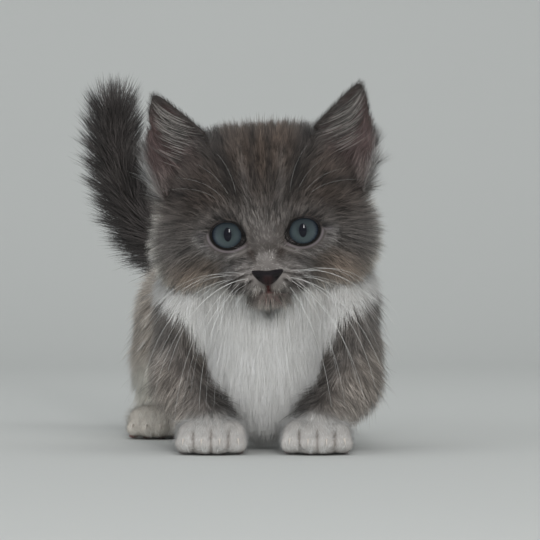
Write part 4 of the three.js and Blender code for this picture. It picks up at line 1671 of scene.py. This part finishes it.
class KITTEN_OT_stage(bpy.types.Operator):
    """Set up the floor, the backdrop, the lights and the camera"""

    bl_idname = "kitten.stage"
    bl_label = "Stage"

    def execute(self, context):
        settings = context.scene.kitten_stage
        paper = np.array(settings.paper)
        make_backdrop(paper * 0.985, np.minimum(paper * 1.015, 1))
        make_camera()
        make_world((0.96, 0.98, 1.0), settings.sky)
        for name, place, aim, size, share, colour, mirrored_in_eyes in LIGHTS:
            add_light(name, place, aim, size, settings.key * share, colour, mirrored_in_eyes)
        context.scene.view_settings.view_transform = "Standard"
        return {"FINISHED"}


class KITTEN_OT_skin(bpy.types.Operator):
    """Make the one skin that lies under the whole coat"""

    bl_idname = "kitten.skin"
    bl_label = "Skin"

    def execute(self, context):
        piece = make_skin()
        mesh = piece.data
        paint(mesh, markings(Spots(mesh_points(mesh), mesh_normals(mesh))))
        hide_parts(*FLESH_NODES)
        dress(piece, skin_material())
        return {"FINISHED"}


class KITTEN_OT_face(bpy.types.Operator):
    """Make the eyes, the lids' edges, the nose and the whiskers"""

    bl_idname = "kitten.face"
    bl_label = "Face"

    def execute(self, context):
        settings = context.scene.kitten_face
        for side in SIDES:
            make_eye(side)
        low = np.array(settings.lid_colour)
        make_lid_rims(plain_material("lid_skin", low, low * 2, 900, rough=0.55, bump=0.1))
        make_nose()
        make_whiskers(settings.whiskers, settings.whisker_length)
        return {"FINISHED"}


class KITTEN_OT_feet(bpy.types.Operator):
    """Make the pads and the claws"""

    bl_idname = "kitten.feet"
    bl_label = "Pads and claws"

    def execute(self, context):
        make_pads()
        make_claws()
        return {"FINISHED"}


class KITTEN_OT_coat(bpy.types.Operator):
    """Grow the coat on the skin, part by part"""

    bl_idname = "kitten.coat"
    bl_label = "Coat"

    def execute(self, context):
        settings = context.scene.kitten_coat
        pelt = Pelt(bpy.data.objects["skin"])
        spots = pelt.spots
        own_parts = ("head", "torso", "foreleg", "hind_leg")
        head, torso, foreleg, hind_leg = (spots.share[part] for part in own_parts)
        paws_share = spots.share["front_paw"] + spots.share["hind_paw"]
        body = settings.tuft_radius
        front = step(face_share(spots.head), 0.04, 0.2)
        low_face = step(-spots.head[:, 2], 6, 12)
        crown = step(spots.head[:, 2], 0, 6)
        top = step(spots.normals[:, 2], -0.1, 0.5)
        wisps = head * (1 - front) + 0.5 * (torso + foreleg + hind_leg)
        guard = head * (1 - 0.6 * step(face_share(spots.head), 0.7, 0.95))
        for side in SIDES:
            guard = guard * step(eye_share(side, spots.head), 1.4, 1.7)
        face = {"pull": 0.6, "per_clump": 12, "streak": 0.56}
        single = {"pull": 0, "tangle": 16, "rings": 3, "longer": 1.35, "lift": 12, "longest": 12}
        stray = {"tangle": 15, "rings": 2, "longer": 1.15, "lift": 5, "longest": 11, "streak": 0.2}
        coat = Coat(pelt, coat_material(), settings.hairs)
        grow = coat.grow
        grow("coat_brow", head * front * (1 - low_face), 44000, 0.1, seed=1, **face)
        grow("coat_muzzle", head * front * low_face, 30000, 0.09, seed=12, per_clump=7, streak=0.56)
        grow("coat_crown", head * (1 - front) * crown, 30000, 0.11, seed=2, **face)
        grow("coat_cheeks", head * (1 - front) * (1 - crown), 34000, 0.11, seed=3, **face)
        grow("coat_ears", spots.share["ear"], 20000, 0.09, seed=4, per_clump=6)
        grow("coat_breast", spots.share["neck"], 40000, body, seed=5, per_clump=14, slot="white_coat")
        grow("coat_back", torso * top, 24000, body, seed=6, per_clump=8, streak=0.3)
        grow("coat_flanks", torso * (1 - top), 26000, body, seed=7, per_clump=8, streak=0.28)
        grow("coat_forelegs", foreleg, 34000, body, seed=8, per_clump=7, streak=0.28)
        grow("coat_hind_legs", hind_leg, 19000, body, seed=9, per_clump=8, streak=0.3)
        grow("coat_paws", paws_share, 14000, 0.1, seed=10, per_clump=6, slot="white_coat")
        grow("coat_tail", spots.share["tail"], 11000, 0.12, rings=2, seed=11, tangle=14, slot="dark_coat")
        grow("coat_wisps", wisps, 2800, 0.07, seed=13, **single)
        grow("coat_guard", guard, 6000, 0.085, seed=14, pull=0, tint=1.9, **stray)
        make_ear_hair(pelt, coat.material, settings.ear_hairs)
        return {"FINISHED"}


class KITTEN_PT_panel(bpy.types.Panel):
    """Lists the pieces of the kitten."""

    bl_label = "Kitten"
    bl_space_type = "VIEW_3D"
    bl_region_type = "UI"
    bl_category = "Kitten"

    def draw(self, context):
        for operator in OPERATORS:
            self.layout.operator(operator.bl_idname)
        for group in SETTINGS:
            box = self.layout.box()
            for name in SETTINGS[group].__annotations__:
                box.prop(getattr(context.scene, group), name)


SETTINGS = {
    "kitten_coat": KittenCoatSettings,
    "kitten_face": KittenFaceSettings,
    "kitten_stage": KittenStageSettings,
}
OPERATORS = (KITTEN_OT_stage, KITTEN_OT_skin, KITTEN_OT_face, KITTEN_OT_feet, KITTEN_OT_coat)


def register():
    for item in (*SETTINGS.values(), *OPERATORS, KITTEN_PT_panel):
        bpy.utils.register_class(item)
    for name, group in SETTINGS.items():
        setattr(bpy.types.Scene, name, bpy.props.PointerProperty(type=group))


def unregister():
    for name in SETTINGS:
        delattr(bpy.types.Scene, name)
    for item in (KITTEN_PT_panel, *reversed(OPERATORS), *SETTINGS.values()):
        bpy.utils.unregister_class(item)


def main():
    register()
    bpy.ops.kitten.stage()
    bpy.ops.kitten.skin()
    bpy.ops.kitten.face()
    bpy.ops.kitten.feet()
    bpy.ops.kitten.coat()


if __name__ == "__main__":
    main()
